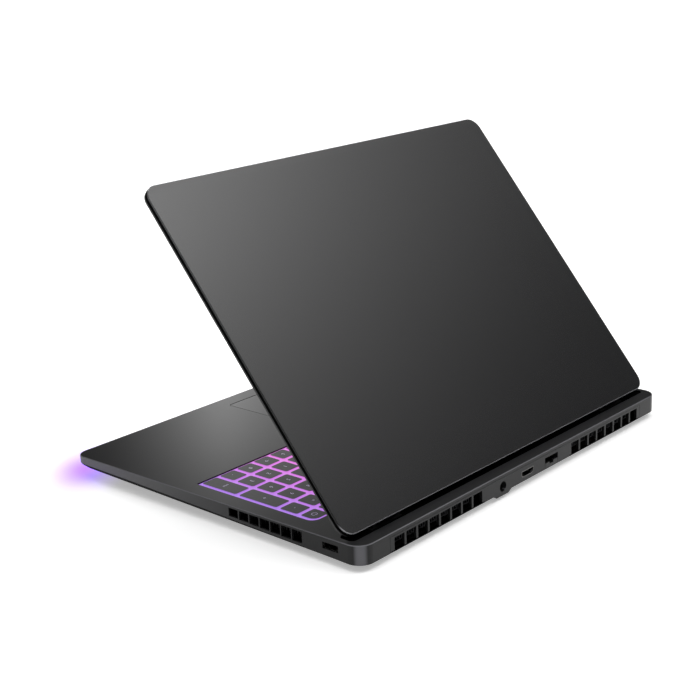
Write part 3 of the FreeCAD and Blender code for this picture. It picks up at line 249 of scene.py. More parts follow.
@dataclass(frozen=True)
class LitFinish(Finish):
    """Plastic that lets light through, in colours that change along X and fade with height."""

    glow: tuple[tuple[float, str], ...] = ()
    # Heights from which the light fades until it is gone. These are above the part, so it stays.
    fade_mm: Span = (1000.0, 1001.0)
    reach_mm: float = 170.0
    strength: float = 1.0

    def paint(self, tree: NodeTree, shader: Node) -> None:
        """Add the light's colours to the plain plastic.

        Args:
            tree: The material's node tree.
            shader: The Principled shader.
        """
        super().paint(tree, shader)
        reach = self.reach_mm
        place = add_node(tree, "ShaderNodeTexCoord").outputs["Object"]
        spot = add_node(tree, "ShaderNodeSeparateXYZ", [place]).outputs
        share = add_node(tree, "ShaderNodeMapRange", [spot["X"], -reach * MM, reach * MM])
        stops = [((x + reach) / (2 * reach), linear(code)) for x, code in self.glow]
        colour = add_node(tree, "ShaderNodeValToRGB", [share], stops=stops)
        fade = add_node(tree, "ShaderNodeMapRange", [spot["Z"], *(z * MM for z in self.fade_mm)])
        light = add_node(tree, "ShaderNodeMix", {0: fade, 6: colour, 7: grey(0.0)}, data_type="RGBA")
        tree.links.new(light.outputs[2], shader.inputs["Emission Color"])
        shader.inputs["Emission Strength"].default_value = self.strength


@dataclass(frozen=True)
class ZonedFinish(Finish):
    """A finish that takes another tone and roughness inside one box of space on each side."""

    pivot_mm: Triple = (0.0, 0.0, 0.0)
    tilt: float = 0.0
    zone_mm: tuple[Span, Span, Span] = ((0.0, 0.0), (0.0, 0.0), (0.0, 0.0))
    # By default the zone is painted shade: a black, fully metallic tone that reflects nothing.
    zone_tone: str = "#020202"
    zone_roughness: float = 0.95
    zone_metallic: float = 1.0

    def paint(self, tree: NodeTree, shader: Node) -> None:
        """Change the tone and the roughness inside the zone.

        Args:
            tree: The material's node tree.
            shader: The Principled shader.
        """
        super().paint(tree, shader)
        self.paint_highlights(tree, shader)
        inside = self.zone(tree)
        # Lay the zone's tone over the base; with the default tone and metal this is painted shade.
        self.overlay(tree, shader, inside, self.zone_tone)
        gloss = shader.inputs["Roughness"].links[0].from_socket
        dulled = add_node(tree, "ShaderNodeMix", {0: inside, 2: gloss, 3: self.zone_roughness})
        tree.links.new(dulled.outputs[0], shader.inputs["Roughness"])
        if self.zone_metallic:
            metal = add_node(tree, "ShaderNodeMath", [inside, self.zone_metallic], operation="MULTIPLY")
            tree.links.new(metal.outputs[0], shader.inputs["Metallic"])

    def paint_highlights(self, tree: NodeTree, shader: Node) -> None:
        """Paint no highlight on the edges."""

    def zone(self, tree: NodeTree) -> NodeSocket:
        """Find what lies inside the zone.

        Args:
            tree: The material's node tree.

        Returns:
            A socket that is 1 inside the zone and 0 outside.
        """
        place = add_node(tree, "ShaderNodeTexCoord").outputs["Object"]
        level = add_node(tree, "ShaderNodeMapping",
                         {"Vector": place, "Location": [v * MM for v in self.pivot_mm],
                          "Rotation": (math.radians(-self.tilt), 0.0, 0.0)}, vector_type="TEXTURE")
        spot = add_node(tree, "ShaderNodeSeparateXYZ", [level]).outputs
        reach = add_node(tree, "ShaderNodeMath", [spot["X"]], operation="ABSOLUTE")
        folded = add_node(tree, "ShaderNodeCombineXYZ", [reach, spot["Y"], spot["Z"]])
        centre = [(low + high) / 2 * MM for low, high in self.zone_mm]
        half = [(high - low) / 2 * MM for low, high in self.zone_mm]
        offset = add_node(tree, "ShaderNodeVectorMath", [folded, centre], operation="SUBTRACT")
        extent = add_node(tree, "ShaderNodeVectorMath", [offset], operation="ABSOLUTE")
        spare = add_node(tree, "ShaderNodeVectorMath", [half, extent], operation="SUBTRACT")
        room = add_node(tree, "ShaderNodeSeparateXYZ", [spare]).outputs
        plan = add_node(tree, "ShaderNodeMath", [room["X"], room["Y"]], operation="MINIMUM")
        least = add_node(tree, "ShaderNodeMath", [plan, room["Z"]], operation="MINIMUM")
        return add_node(tree, "ShaderNodeMath", [least, 0.0], operation="GREATER_THAN").outputs[0]


@dataclass(frozen=True)
class ShellFinish(ZonedFinish):
    """A casing's finish with a painted highlight on its chamfers and corners, painted light on its side
    walls towards the front, and painted shade, dead black, inside its zone.
    """

    # Tone of the painted highlight on the chamfers and on the corners between two walls.
    painted_highlight: str = "#66666a"
    chamfer_spread: float = 0.1
    # A chamfer whose normal has more X than this gets no painted highlight. At 2 every chamfer gets it.
    side_limit: float = 2.0
    corner_span: Span = (0.9, 1.0)
    # Tone of the painted light on the side walls, and where across X and along Y it begins and is full.
    painted_side_light: str = "#656567"
    painted_side_light_x_mm: Span = (177.6, 178.2)
    painted_side_light_y_mm: Span = (60.0, -110.0)

    def paint_highlights(self, tree: NodeTree, shader: Node) -> None:
        """Paint a highlight on the chamfers and on the corners between two walls, and painted light on the
        side walls towards the front.

        Args:
            tree: The material's node tree.
            shader: The Principled shader.
        """
        facing = add_node(tree, "ShaderNodeTexCoord").outputs["Normal"]
        tilt = math.radians(self.tilt)
        upward = (0.0, math.sin(tilt), math.cos(tilt))
        rise = add_node(tree, "ShaderNodeVectorMath", [facing, upward], operation="DOT_PRODUCT")
        chamfer = add_node(tree, "ShaderNodeMath", [rise.outputs["Value"], LEAN, self.chamfer_spread],
                           operation="COMPARE")
        folded = add_node(tree, "ShaderNodeVectorMath", [facing], operation="ABSOLUTE")
        aside = add_node(tree, "ShaderNodeSeparateXYZ", [folded]).outputs["X"]
        open_side = add_node(tree, "ShaderNodeMath", [aside, self.side_limit], operation="LESS_THAN")
        shown = add_node(tree, "ShaderNodeMath", [chamfer, open_side], operation="MULTIPLY")
        between = add_node(tree, "ShaderNodeVectorMath", [folded, (LEAN, LEAN, 0.0)],
                           operation="DOT_PRODUCT")
        corner = add_node(tree, "ShaderNodeMapRange", [between.outputs["Value"], *self.corner_span],
                          interpolation_type="SMOOTHSTEP")
        edge = add_node(tree, "ShaderNodeMath", [shown, corner], operation="MAXIMUM")
        # Painted light: the side walls are paler towards the front.
        self.overlay(tree, shader, self.find_painted_side_light(tree), self.painted_side_light)
        # Painted highlight: the chamfers and the corners between two walls are paler.
        self.overlay(tree, shader, edge, self.painted_highlight)

    def find_painted_side_light(self, tree: NodeTree) -> NodeSocket:
        """Find where the side walls get painted light, more and more towards the front.

        Args:
            tree: The material's node tree.

        Returns:
            A socket from 0 where there is no painted light to 1.
        """
        place = add_node(tree, "ShaderNodeTexCoord").outputs["Object"]
        spot = add_node(tree, "ShaderNodeSeparateXYZ", [place]).outputs
        reach = add_node(tree, "ShaderNodeMath", [spot["X"]], operation="ABSOLUTE")
        outer = add_node(tree, "ShaderNodeMapRange", [reach, *(x * MM for x in self.painted_side_light_x_mm)])
        forward = add_node(tree, "ShaderNodeMapRange", [spot["Y"], *(y * MM for y in self.painted_side_light_y_mm)])
        return add_node(tree, "ShaderNodeMath", [outer, forward], operation="MULTIPLY").outputs[0]


@dataclass(frozen=True)
class BoardFinish(Finish):
    """Circuit board: solder mask with paler copper tracks under it."""

    track: str = "#2f6b4a"
    track_mm: float = 1.6
    track_share: float = 0.06
    track_run: float = 4.0

    def paint(self, tree: NodeTree, shader: Node) -> None:
        """Lay the tracks over the plain mask.

        Args:
            tree: The material's node tree.
            shader: The Principled shader.
        """
        super().paint(tree, shader)
        place = add_node(tree, "ShaderNodeTexCoord").outputs["Object"]
        tracks = add_node(tree, "ShaderNodeTexBrick",
                          {"Vector": place, "Color1": grey(0.0), "Color2": grey(0.0), "Mortar": grey(1.0),
                           "Scale": 1 / (self.track_mm * MM), "Mortar Size": self.track_share,
                           "Brick Width": self.track_run})
        self.overlay(tree, shader, tracks, self.track)


# Matt lacquer on aluminium: near black, with a silky sheen that turns soft light into slow gradients.
# Its grit is about 0.1 mm and is drawn eight times as coarse, so that it shows. The hinge trough is painted
# dead black as painted shade, and the chamfers, corners and fronts of the side walls are paler as painted
# highlights and painted light.
CASING = ShellFinish("matt_lacquered_aluminium", ("#19191a", "#1e1e1f"), (0.28, 0.3), 0.8, 0.0003,
                     specular=0.2, zone_mm=((-1.0, 174.5), (111.5, 124.3), (5.0, 17.72)))
# The same lacquer on the rear grille, painted dead black along the sill under its slots as painted shade.
GRILLE = replace(CASING, name="matt_lacquered_aluminium_grille",
                 zone_mm=((52.0, 150.0), (100.0, 140.0), (0.0, 5.45)))
# A silkier lacquer on the lid, with a brighter painted highlight on its chamfers; its flanks are painted
# dead black as painted shade.
LID_SHELL = ShellFinish("silk_lacquered_aluminium", ("#1a1a1b", "#1c1c1d"), (0.255, 0.26), 0.8, 0.0001,
                        pivot_mm=HINGE_MM, tilt=LID_OPEN, painted_highlight="#9a9a9e", side_limit=0.5,
                        zone_mm=((-1.0, 200.0), (-300.0, 10.0), (-20.0, 2.5)))
# Spark-eroded ABS: a dull black-grey shell with a fine even stipple.
COVER = Finish("spark_textured_abs", ("#09090a", "#0e0e0f"), (0.62, 0.74), 1.1, 0.02, ior=1.53,
               specular=0.15)
# Matt ABS round the screen: near black and smooth, so it doesn't catch the eye.
BEZEL = Finish("matt_black_abs", ("#121213", "#171719"), (0.48, 0.58), 0.9, 0.008, ior=1.53)
# Anti-glare display glass, switched off: deep black with a veil of spread-out reflections. The inked border
# is blacker than the picture area.
SCREEN = ZonedFinish("anti_glare_display_glass", ("#030304", "#050506"), (0.16, 0.24), 0.6, ior=1.52,
                     pivot_mm=HINGE_MM, tilt=LID_OPEN, zone_tone="#0c0d12", zone_roughness=0.2,
                     zone_metallic=0.0, zone_mm=((-1.0, 172.3), (-244.1, -28.8), (-10.0, 10.0)))
# Etched touchpad glass: the casing's grey, a little smoother and with no sparkle.
PAD = Finish("etched_touchpad_glass", ("#1b1b1c", "#1c1c1d"), (0.275, 0.28), 0.5, specular=0.22)
# Colours of the key light from left to right: violet at the ends, pink in the middle.
KEY_LIGHT = ((-164.0, "#9a78dc"), (-90.0, "#b27fe4"), (0.0, "#dc80da"), (96.0, "#de7edc"),
             (128.0, "#c87ade"), (164.0, "#a478dc"))
# Moulded PBT keycaps: dark grey and dry to the touch, with a faint stipple and milky skirts that glow.
KEY = LitFinish("moulded_pbt_keycap", ("#2c2c2e", "#343436"), (0.4, 0.5), 0.7, 0.01, ior=1.57,
                glow=KEY_LIGHT, fade_mm=(17.42, 17.59))
# Milky polycarbonate between the keys, lit by coloured lamps.
GUIDE = LitFinish("lit_polycarbonate_guide", ("#4a3560", "#5a4274"), (0.4, 0.5), 2.0, ior=1.58,
                  glow=KEY_LIGHT)
# Milky polycarbonate under the front edge, lit violet.
BAR = LitFinish("lit_polycarbonate_bar", ("#cdbbe6", "#dccdf0"), (0.2, 0.3), 2.0, ior=1.58, strength=1.2,
                glow=((-164.0, "#8a4dff"), (0.0, "#9a55ff"), (164.0, "#8a4dff")))
# Laser-etched legend: pale translucent plastic that lets a little of the key light through.
LEGEND = LitFinish("etched_key_legend", ("#c4c2c9", "#d6d4da"), (0.5, 0.6), 0.5, ior=1.57, strength=0.25,
                   glow=((-164.0, "#b9a8ff"), (0.0, "#f0d0f4"), (164.0, "#c8b0ff")))
# Zinc-plated pressed steel: mid grey with a drawn grain along X.
SHEET = Metal("zinc_plated_steel", ("#8b8b8d", "#98989a"), (0.35, 0.5), 0.9, 0.004, stretch=(0.06, 1.0, 1.0))
# Black-oxide hinge steel: dark, a little oily, with a turned grain along the pin.
HINGE = Metal("black_oxide_steel", ("#171718", "#202022"), (0.42, 0.55), 0.8, 0.004, stretch=(0.1, 1.0, 1.0))
# Black powder coat of the hinge brackets, partly painted shade: so dark and dull that they vanish into the
# trough's shade.
BRACKET_PAINTED_SHADE = Finish("black_powder_coat_painted_shade", ("#050506", "#09090a"), (0.75, 0.85), 0.8, 0.01, specular=0.1)
# Painted shade: a dead black sheet that reflects nothing, laid in the hinge trough where the lid's shade
# falls.
TROUGH_SHADE = Finish("painted_trough_shade_sheet", ("#040404", "#080808"), (0.95, 1.0), 0.7, 0.03, ior=1.45, specular=0.0)
# Black zinc screws: darker than the casing, with a soft gleam.
SCREW = Metal("black_zinc_steel", ("#1d1d1f", "#29292b"), (0.28, 0.4), 0.6, 0.002)
# Silicone rubber feet and gasket: dead matt black with a dusty bloom.
RUBBER = Finish("silicone_rubber", ("#121212", "#1b1b1b"), (0.75, 0.9), 1.5, 0.03, ior=1.41)
# Nickel-plated port shells: bright but small, seen mostly as dark edges.
NICKEL = Metal("nickel_plated_steel", ("#6d6c6a", "#7d7c7a"), (0.22, 0.34), 0.7, 0.002)
# Glass-filled nylon of the sockets: black with a low sheen.
SOCKET = Finish("glass_filled_nylon", ("#060607", "#0a0a0b"), (0.5, 0.62), 0.8, 0.006, ior=1.53,
                specular=0.2)
# Nylon moulded in the wall's grey: the sprung jaw of the network socket looks like a piece of the wall.
JAW = Finish("wall_grey_nylon", ("#1c1c1d", "#212122"), (0.32, 0.36), 0.8, ior=1.53, specular=0.22)
# Gold-flashed contacts: warm and smooth.
GOLD = Metal("gold_flashed_contact", ("#c79a4b", "#d8ad5f"), (0.2, 0.3), 0.5)
# FR4 with solder mask: dark green and half glossy, with paler tracks.
BOARD = BoardFinish("fr4_green_solder_mask", ("#0f2f22", "#143a2a"), (0.35, 0.5), 1.2, 0.01, ior=1.55)
# Silicon and moulded package: dark with a smooth gleam.
CHIP = Finish("moulded_chip_package", ("#26272b", "#303136"), (0.18, 0.3), 0.6, ior=1.55)
# Bare copper with slight tarnish: warm and a little dull.
COPPER = Metal("bare_copper", ("#a5674b", "#bd7d5d"), (0.28, 0.42), 3.0, 0.004)
# Bare aluminium fins, dulled by dust.
FIN = Metal("bare_aluminium_fin", ("#3c3c3e", "#4a4a4c"), (0.4, 0.55), 1.5, 0.003)
# Glass-filled PBT of the blowers: black and slightly glossy.
FAN = Finish("glass_filled_pbt", ("#101011", "#19191b"), (0.4, 0.52), 1.0, 0.008, ior=1.57)
# Polyester film sleeve of the battery: black with a soft shine.
SLEEVE = Finish("polyester_film_sleeve", ("#131316", "#1c1c20"), (0.28, 0.45), 4.0, 0.01, ior=1.6)
# Backing sheet of the screen panel: pale and evenly dull.
PANEL = Metal("aluminium_backing_sheet", ("#8a8a8c", "#969698"), (0.35, 0.45), 1.0, 0.002)
# Optical glass of the webcam: black, wet-looking.
LENS = Finish("coated_lens_glass", ("#05060a", "#0a0c14"), (0.03, 0.06), 1.0, ior=1.6)

SLOT_FINISHES: dict[str, Finish] = {
    "casing_metal": CASING, "cover_plastic": COVER, "bezel_plastic": BEZEL, "screen_glass": SCREEN,
    "panel_metal": PANEL, "key_plastic": KEY, "light_guide": GUIDE, "light_bar_lens": BAR, "pad_glass": PAD,
    "sheet_steel": SHEET, "hinge_steel": HINGE, "screw_steel": SCREW, "foot_rubber": RUBBER,
    "port_steel": NICKEL, "port_plastic": SOCKET, "circuit_board": BOARD, "chip_package": CHIP,
    "copper": COPPER, "fin_aluminium": FIN, "fan_plastic": FAN, "battery_sleeve": SLEEVE,
    "speaker_plastic": FAN,
}


def node_slots() -> dict[str, str]:
    """Read each CAD node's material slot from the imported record."""
    return {row["node"]: row["material_slot"] for row in frame["record"]["subparts"]}


def paint(target: Object, finish: Finish) -> None:
    """Give an object one finish all over."""
    target.data.materials.clear()
    target.data.materials.append(finish.material())


def islands(node: str) -> list[Box]:
    """Find the separate solids of a CAD node.

    Args:
        node: The node's name.

    Returns:
        Lowest and highest corner of each solid, from left to right.
    """
    shape = bmesh.new()
    shape.from_mesh(frame["nodes"][node].data)
    bmesh.ops.remove_doubles(shape, verts=shape.verts, dist=WELD)
    left = set(shape.verts)
    boxes: list[Box] = []
    while left:
        edge = [left.pop()]
        found = list(edge)
        while edge:
            near = {e.other_vert(edge[-1]) for e in edge[-1].link_edges} & left
            edge.pop()
            left -= near
            edge += near
            found += near
        points = [v.co for v in found]
        boxes.append((Vector(map(min, *points)), Vector(map(max, *points))))
    shape.free()
    return sorted(boxes, key=lambda b: b[0].x)


def middle(box: Box) -> Vector:
    """Give the middle of a box."""
    return (box[0] + box[1]) / 2


def mesh_object(name: str, mesh: Mesh) -> Object:
    """Put a mesh into the scene under a name.

    Args:
        name: The piece's name.
        mesh: Its mesh, in the frame's place.

    Returns:
        The new object.
    """
    mesh.name = name
    piece = bpy.data.objects.new(name, mesh)
    bpy.context.scene.collection.objects.link(piece)
    return piece


def plain_mesh(shape: bmesh.types.BMesh) -> Mesh:
    """Turn a finished shape into a mesh and free it.

    Args:
        shape: The shape, in the frame's place.

    Returns:
        Its mesh, with gently turning edges shaded as curves.
    """
    bmesh.ops.recalc_face_normals(shape, faces=shape.faces)
    for face in shape.faces:
        face.smooth = True
    for edge in shape.edges:
        edge.smooth = edge.calc_face_angle(math.pi) < SMOOTH_ANGLE
    mesh = bpy.data.meshes.new("plain")
    shape.to_mesh(mesh)
    shape.free()
    return mesh


def kept_mesh(source: Object) -> Mesh:
    """Keep what an object shows as a plain mesh, and remove the object.

    Args:
        source: The object, with its modifiers.

    Returns:
        The mesh.
    """
    graph = bpy.context.evaluated_depsgraph_get()
    mesh = bpy.data.meshes.new_from_object(source.evaluated_get(graph))
    source.modifiers.clear()
    bpy.data.objects.remove(source)
    return mesh


def joined(meshes: Iterable[Mesh]) -> Mesh:
    """Join meshes into one and remove the single ones.

    Args:
        meshes: Meshes in their final places.

    Returns:
        The joined mesh.
    """
    shape = bmesh.new()
    for mesh in meshes:
        shape.from_mesh(mesh)
        bpy.data.meshes.remove(mesh)
    whole = bpy.data.meshes.new("joined")
    shape.to_mesh(whole)
    shape.free()
    return whole


def blocks(places: Iterable[Box], round_mm: float) -> Mesh:
    """Make blocks with rounded edges.

    Args:
        places: Lowest and highest corner of each block.
        round_mm: Radius of the edges.

    Returns:
        One mesh of all the blocks.
    """
    shape = bmesh.new()
    for low, high in places:
        size = Matrix.Diagonal(high - low).to_4x4()
        bmesh.ops.create_cube(shape, size=1.0, matrix=Matrix.Translation(middle((low, high))) @ size)
    bmesh.ops.bevel(shape, geom=shape.edges[:], offset=round_mm * MM, segments=ROUND_STEPS,
                    affect="EDGES")
    return plain_mesh(shape)


def close_rings(shape: bmesh.types.BMesh, rings: Sequence[Sequence[bmesh.types.BMVert]]) -> None:
    """Join each ring of points to the next, and the last ring to the first.

    Args:
        shape: The shape that gets the faces.
        rings: Closed rings of equally many points.
    """
    for here, there in zip(rings, [*rings[1:], rings[0]]):
        for i in range(len(here)):
            shape.faces.new((here[i - 1], there[i - 1], there[i], here[i]))


def turned(profile: Spans, spot: Vector, along: Vector) -> Mesh:
    """Turn a closed section about an axis.

    Args:
        profile: Radius and height of each corner of the section, in millimetres.
        spot: The axis' zero point.
        along: The axis' direction.

    Returns:
        The turned mesh.
    """
    shape = bmesh.new()
    tip = Vector((0.0, 0.0, 1.0)).rotation_difference(along).to_matrix()
    rings = []
    for step in range(TURN_SIDES):
        turn = Matrix.Rotation(math.tau * step / TURN_SIDES, 3, "Z")
        rings.append([shape.verts.new(spot + tip @ turn @ Vector((r, 0.0, h)) * MM) for r, h in profile])
    close_rings(shape, rings)
    bmesh.ops.remove_doubles(shape, verts=shape.verts, dist=WELD)
    return plain_mesh(shape)


def settle(piece: Object, body: str, finish: Finish) -> None:
    """Finish a new piece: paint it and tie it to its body.

    Args:
        piece: The new object.
        body: The CAD body that it moves with.
        finish: Its finish.
    """
    paint(piece, finish)
    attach(piece, body)
    LOG.info("piece %s on %s, %d faces", piece.name, body, len(piece.data.polygons))


class Recipe:
    """A Geometry Nodes tree with named inputs that ends in realised, painted mesh."""

    def __init__(self, name: str, inputs: dict[str, str]) -> None:
        """Start the tree.

        Args:
            name: The tree's name.
            inputs: Input names and their socket types.
        """
        self.tree = bpy.data.node_groups.new(name, "GeometryNodeTree")
        self.tree.interface.new_socket("Geometry", in_out="INPUT", socket_type="NodeSocketGeometry")
        self.keys: dict[str, str] = {}
        for title, kind in {**inputs, "Finish": "NodeSocketMaterial"}.items():
            item = self.tree.interface.new_socket(title, in_out="INPUT", socket_type=kind)
            self.keys[title] = item.identifier
        self.tree.interface.new_socket("Geometry", in_out="OUTPUT", socket_type="NodeSocketGeometry")
        self.inputs = add_node(self.tree, "NodeGroupInput").outputs

    def end(self, geometry: NodeSocket) -> None:
        """Realise the instances, set the finish and close the tree.

        Args:
            geometry: The output with the instances.
        """
        real = add_node(self.tree, "GeometryNodeRealizeInstances", [geometry])
        painted = add_node(self.tree, "GeometryNodeSetMaterial",
                           {"Geometry": real, "Material": self.inputs["Finish"]})
        add_node(self.tree, "NodeGroupOutput", [painted])

    def make(self, finish: Finish, points: Sequence[Vector] = (), **values: object) -> Mesh:
        """Run the tree on some points and keep the result as a plain mesh.

        Args:
            finish: The finish that the tree sets.
            points: Points that the tree may put instances on.
            values: Values of the named inputs, with spaces as underscores.

        Returns:
            The finished mesh.
        """
        seed = bpy.data.meshes.new("seed")
        seed.from_pydata([tuple(p) for p in points], [], [])
        carrier = mesh_object("carrier", seed)
        modifier = carrier.modifiers.new("recipe", "NODES")
        modifier.node_group = self.tree
        for name, value in {**values, "Finish": finish.material()}.items():
            modifier[self.keys[name.replace("_", " ")]] = value
        made = kept_mesh(carrier)
        bpy.data.meshes.remove(seed)
        return made


class BarRow(Recipe):
    """A row of equal bars, such as contacts or wires."""

    def __init__(self) -> None:
        """Build the tree: a line of points with a turned bar on each."""
        vectors = dict.fromkeys(("First", "Step", "Bar", "Turn"), "NodeSocketVector")
        super().__init__("row_of_bars", {"Count": "NodeSocketInt", **vectors})
        tree, given = self.tree, self.inputs
        line = add_node(tree, "GeometryNodeMeshLine", {"Count": given["Count"], "Offset": given["Step"],
                                                       "Start Location": given["First"]})
        bar = add_node(tree, "GeometryNodeMeshCube", {"Size": given["Bar"]})
        row = add_node(tree, "GeometryNodeInstanceOnPoints",
                       {"Points": line, "Instance": bar, "Rotation": given["Turn"]})
        self.end(row.outputs["Instances"])

    def row(self, finish: Finish, count: int, first: Vector, step: Vector, bar: Vector,
            tilt: float = 0.0) -> Mesh:
        """Make one row.

        Args:
            finish: The bars' finish.
            count: Number of bars.
            first: Middle of the first bar, in millimetres.
            step: Way from one bar to the next, in millimetres.
            bar: Size of a bar, in millimetres.
            tilt: Turn of each bar about X, in degrees.

        Returns:
            The row's mesh.
        """
        return self.make(finish, Count=count, First=tuple(first * MM), Step=tuple(step * MM),
                         Bar=tuple(bar * MM), Turn=(math.radians(tilt), 0.0, 0.0))


class StarRecess(Recipe):
    """Round plates with a star-shaped hole, one on each point."""

    RIM_SIDES = 24
    ARMS = 6

    def __init__(self) -> None:
        """Build the tree: a filled ring round a star, given a thickness."""
        sizes = ("Plate Radius", "Star Radius", "Root Radius", "Depth")
        super().__init__("star_recess", dict.fromkeys(sizes, "NodeSocketFloat"))
        tree, given = self.tree, self.inputs
        rim = add_node(tree, "GeometryNodeCurvePrimitiveCircle",
                       {"Resolution": self.RIM_SIDES, "Radius": given["Plate Radius"]})
        star = add_node(tree, "GeometryNodeCurveStar",
                        {"Points": self.ARMS, "Inner Radius": given["Root Radius"],
                         "Outer Radius": given["Star Radius"]})
        outline = add_node(tree, "GeometryNodeJoinGeometry", [rim])
        tree.links.new(star.outputs["Curve"], outline.inputs[0])
        plate = add_node(tree, "GeometryNodeFillCurve", {"Curve": outline})
        back = add_node(tree, "GeometryNodeFlipFaces", [plate])
        raised = add_node(tree, "GeometryNodeExtrudeMesh",
                          {"Mesh": plate, "Offset Scale": given["Depth"], "Individual": False})
        closed = add_node(tree, "GeometryNodeJoinGeometry", [raised])
        tree.links.new(back.outputs[0], closed.inputs[0])
        merged = add_node(tree, "GeometryNodeMergeByDistance", {"Geometry": closed, "Distance": WELD})
        set_in = add_node(tree, "GeometryNodeInstanceOnPoints",
                          {"Points": given["Geometry"], "Instance": merged})
        self.end(set_in.outputs["Instances"])


@dataclass
class SubAssembly:
    """A group of CAD nodes with the pieces that are added to it."""

    nodes: Names = ()
    special: dict[str, Finish] = field(default_factory=dict)

    def dress(self) -> None:
        """Give each CAD node the finish of its slot."""
        slots = node_slots()
        for node in self.nodes:
            finish = self.special.get(node, SLOT_FINISHES[slots[node]])
            paint(frame["nodes"][node], finish)
            LOG.info("node %s: %s", node, finish.name)

    def build(self) -> None:
        """Make the added pieces, if there are any."""


@dataclass
class Casing(SubAssembly):
    """The base's shells, grilles, feet and screws."""

    nodes: Names = ("top_case", "rear_grille", "bottom_cover", "intake_grilles", "rear_foot", "front_feet",
                    "light_bar", "cover_screws")
    special: dict[str, Finish] = field(default_factory=lambda: {"rear_grille": GRILLE})
    wire_mm: float = 0.25
    wire_pitch_mm: float = 1.6
    mesh_lift_mm: float = 0.2
    # Radius and depth of a screw's plate, and the outer and inner radius of its star.
    plate_mm: Span = (1.19, 0.25)
    star_mm: Span = (0.95, 0.62)

    def build(self) -> None:
        """Make the dust meshes and the screws' star recesses."""
        self.build_dust_meshes()
        self.build_screw_recesses()

    def build_dust_meshes(self) -> None:
        """Lay a woven dust mesh on the inner side of each intake grille."""
        bars = BarRow()
        wire, pitch = self.wire_mm, self.wire_pitch_mm
        wires = []
        for grille in islands("intake_grilles"):
            low, high = (corner / MM for corner in grille)
            size, centre = high - low, (low + high) / 2
            lift = high.z + self.mesh_lift_mm
            first = Vector((low.x + pitch / 2, centre.y, lift))
            wires.append(bars.row(COVER, int(size.x / pitch), first, Vector((pitch, 0.0, 0.0)),
                                  Vector((wire, size.y, wire))))
            first = Vector((centre.x, low.y + pitch / 2, lift + wire))
            wires.append(bars.row(COVER, int(size.y / pitch), first, Vector((0.0, pitch, 0.0)),
                                  Vector((size.x, wire, wire))))
        settle(mesh_object("dust_meshes", joined(wires)), "base", COVER)

    def build_screw_recesses(self) -> None:
        """Set a plate with a star-shaped hole into each cover screw's head."""
        seats = [Vector((*middle(screw).xy, screw[0].z)) for screw in islands("cover_screws")]
        radius, depth = (size * MM for size in self.plate_mm)
        star, root = (size * MM for size in self.star_mm)
        plates = StarRecess().make(SCREW, seats, Plate_Radius=radius, Depth=depth, Star_Radius=star,
                                   Root_Radius=root)
        settle(mesh_object("cover_screw_recesses", plates), "base", SCREW)


@dataclass
class Lid(SubAssembly):
    """The lid with its screen, webcam and half of the hinges."""

    nodes: Names = ("lid_back_cover", "screen_bezel", "screen_glass", "screen_panel", "webcam_module",
                    "lid_gasket", "wifi_aerials", "right_hinge_leaf", "left_hinge_leaf", "leaf_screws")
    special: dict[str, Finish] = field(default_factory=lambda: {"lid_back_cover": LID_SHELL})
    # Middle of the webcam's glass with the lid shut, and its section.
    lens_mm: Triple = (0.0, -129.53, 18.8)
    lens_profile: Spans = ((0.0, -0.05), (1.2, -0.05), (1.2, 0.0), (1.0, 0.08), (0.55, 0.14), (0.0, 0.16))

    def build(self) -> None:
        """Set the webcam's domed glass into the screen frame."""
        hinge = Matrix.Translation(Vector(HINGE_MM) * MM)
        opened = hinge @ Matrix.Rotation(math.radians(-LID_OPEN), 4, "X") @ hinge.inverted()
        glass = turned(self.lens_profile, Vector(self.lens_mm) * MM, Vector((0.0, 0.0, -1.0)))
        glass.transform(opened)
        settle(mesh_object("webcam_lens", glass), "lid", LENS)


@dataclass
class Hinges(SubAssembly):
    """The base's half of the hinges, and a black sheet of painted shade in the trough they stand in."""

    nodes: Names = ("right_hinge_bracket", "left_hinge_bracket", "hinge_pins", "bracket_screws")
    special: dict[str, Finish] = field(default_factory=lambda: {
        "right_hinge_bracket": BRACKET_PAINTED_SHADE, "left_hinge_bracket": BRACKET_PAINTED_SHADE, "bracket_screws": BRACKET_PAINTED_SHADE})
    # Left end, right end and floor of each strip.
    strips_mm: tuple[Triple, ...] = ((-173.6, -158.2, 16.4), (-157.8, -150.5, 14.8), (-119.5, 119.5, 14.8),
                                     (150.5, 157.8, 14.8), (158.2, 173.6, 16.4))
    trough_mm: Span = (112.1, 124.1)
    # Thickness and edge radius of the sheet of painted shade.
    shade_sheet_mm: float = 0.12
    shade_sheet_round_mm: float = 0.04

    def build(self) -> None:
        """Lay a black sheet of painted shade on the trough's floor between the hinges."""
        strips = []
        for left, right, floor in self.strips_mm:
            low = Vector((left, self.trough_mm[0], floor)) * MM
            high = Vector((right, self.trough_mm[1], floor + self.shade_sheet_mm)) * MM
            strips.append((low, high))
        lining = blocks(strips, self.shade_sheet_round_mm)
        settle(mesh_object("hinge_trough_painted_shade", lining), "base", TROUGH_SHADE)


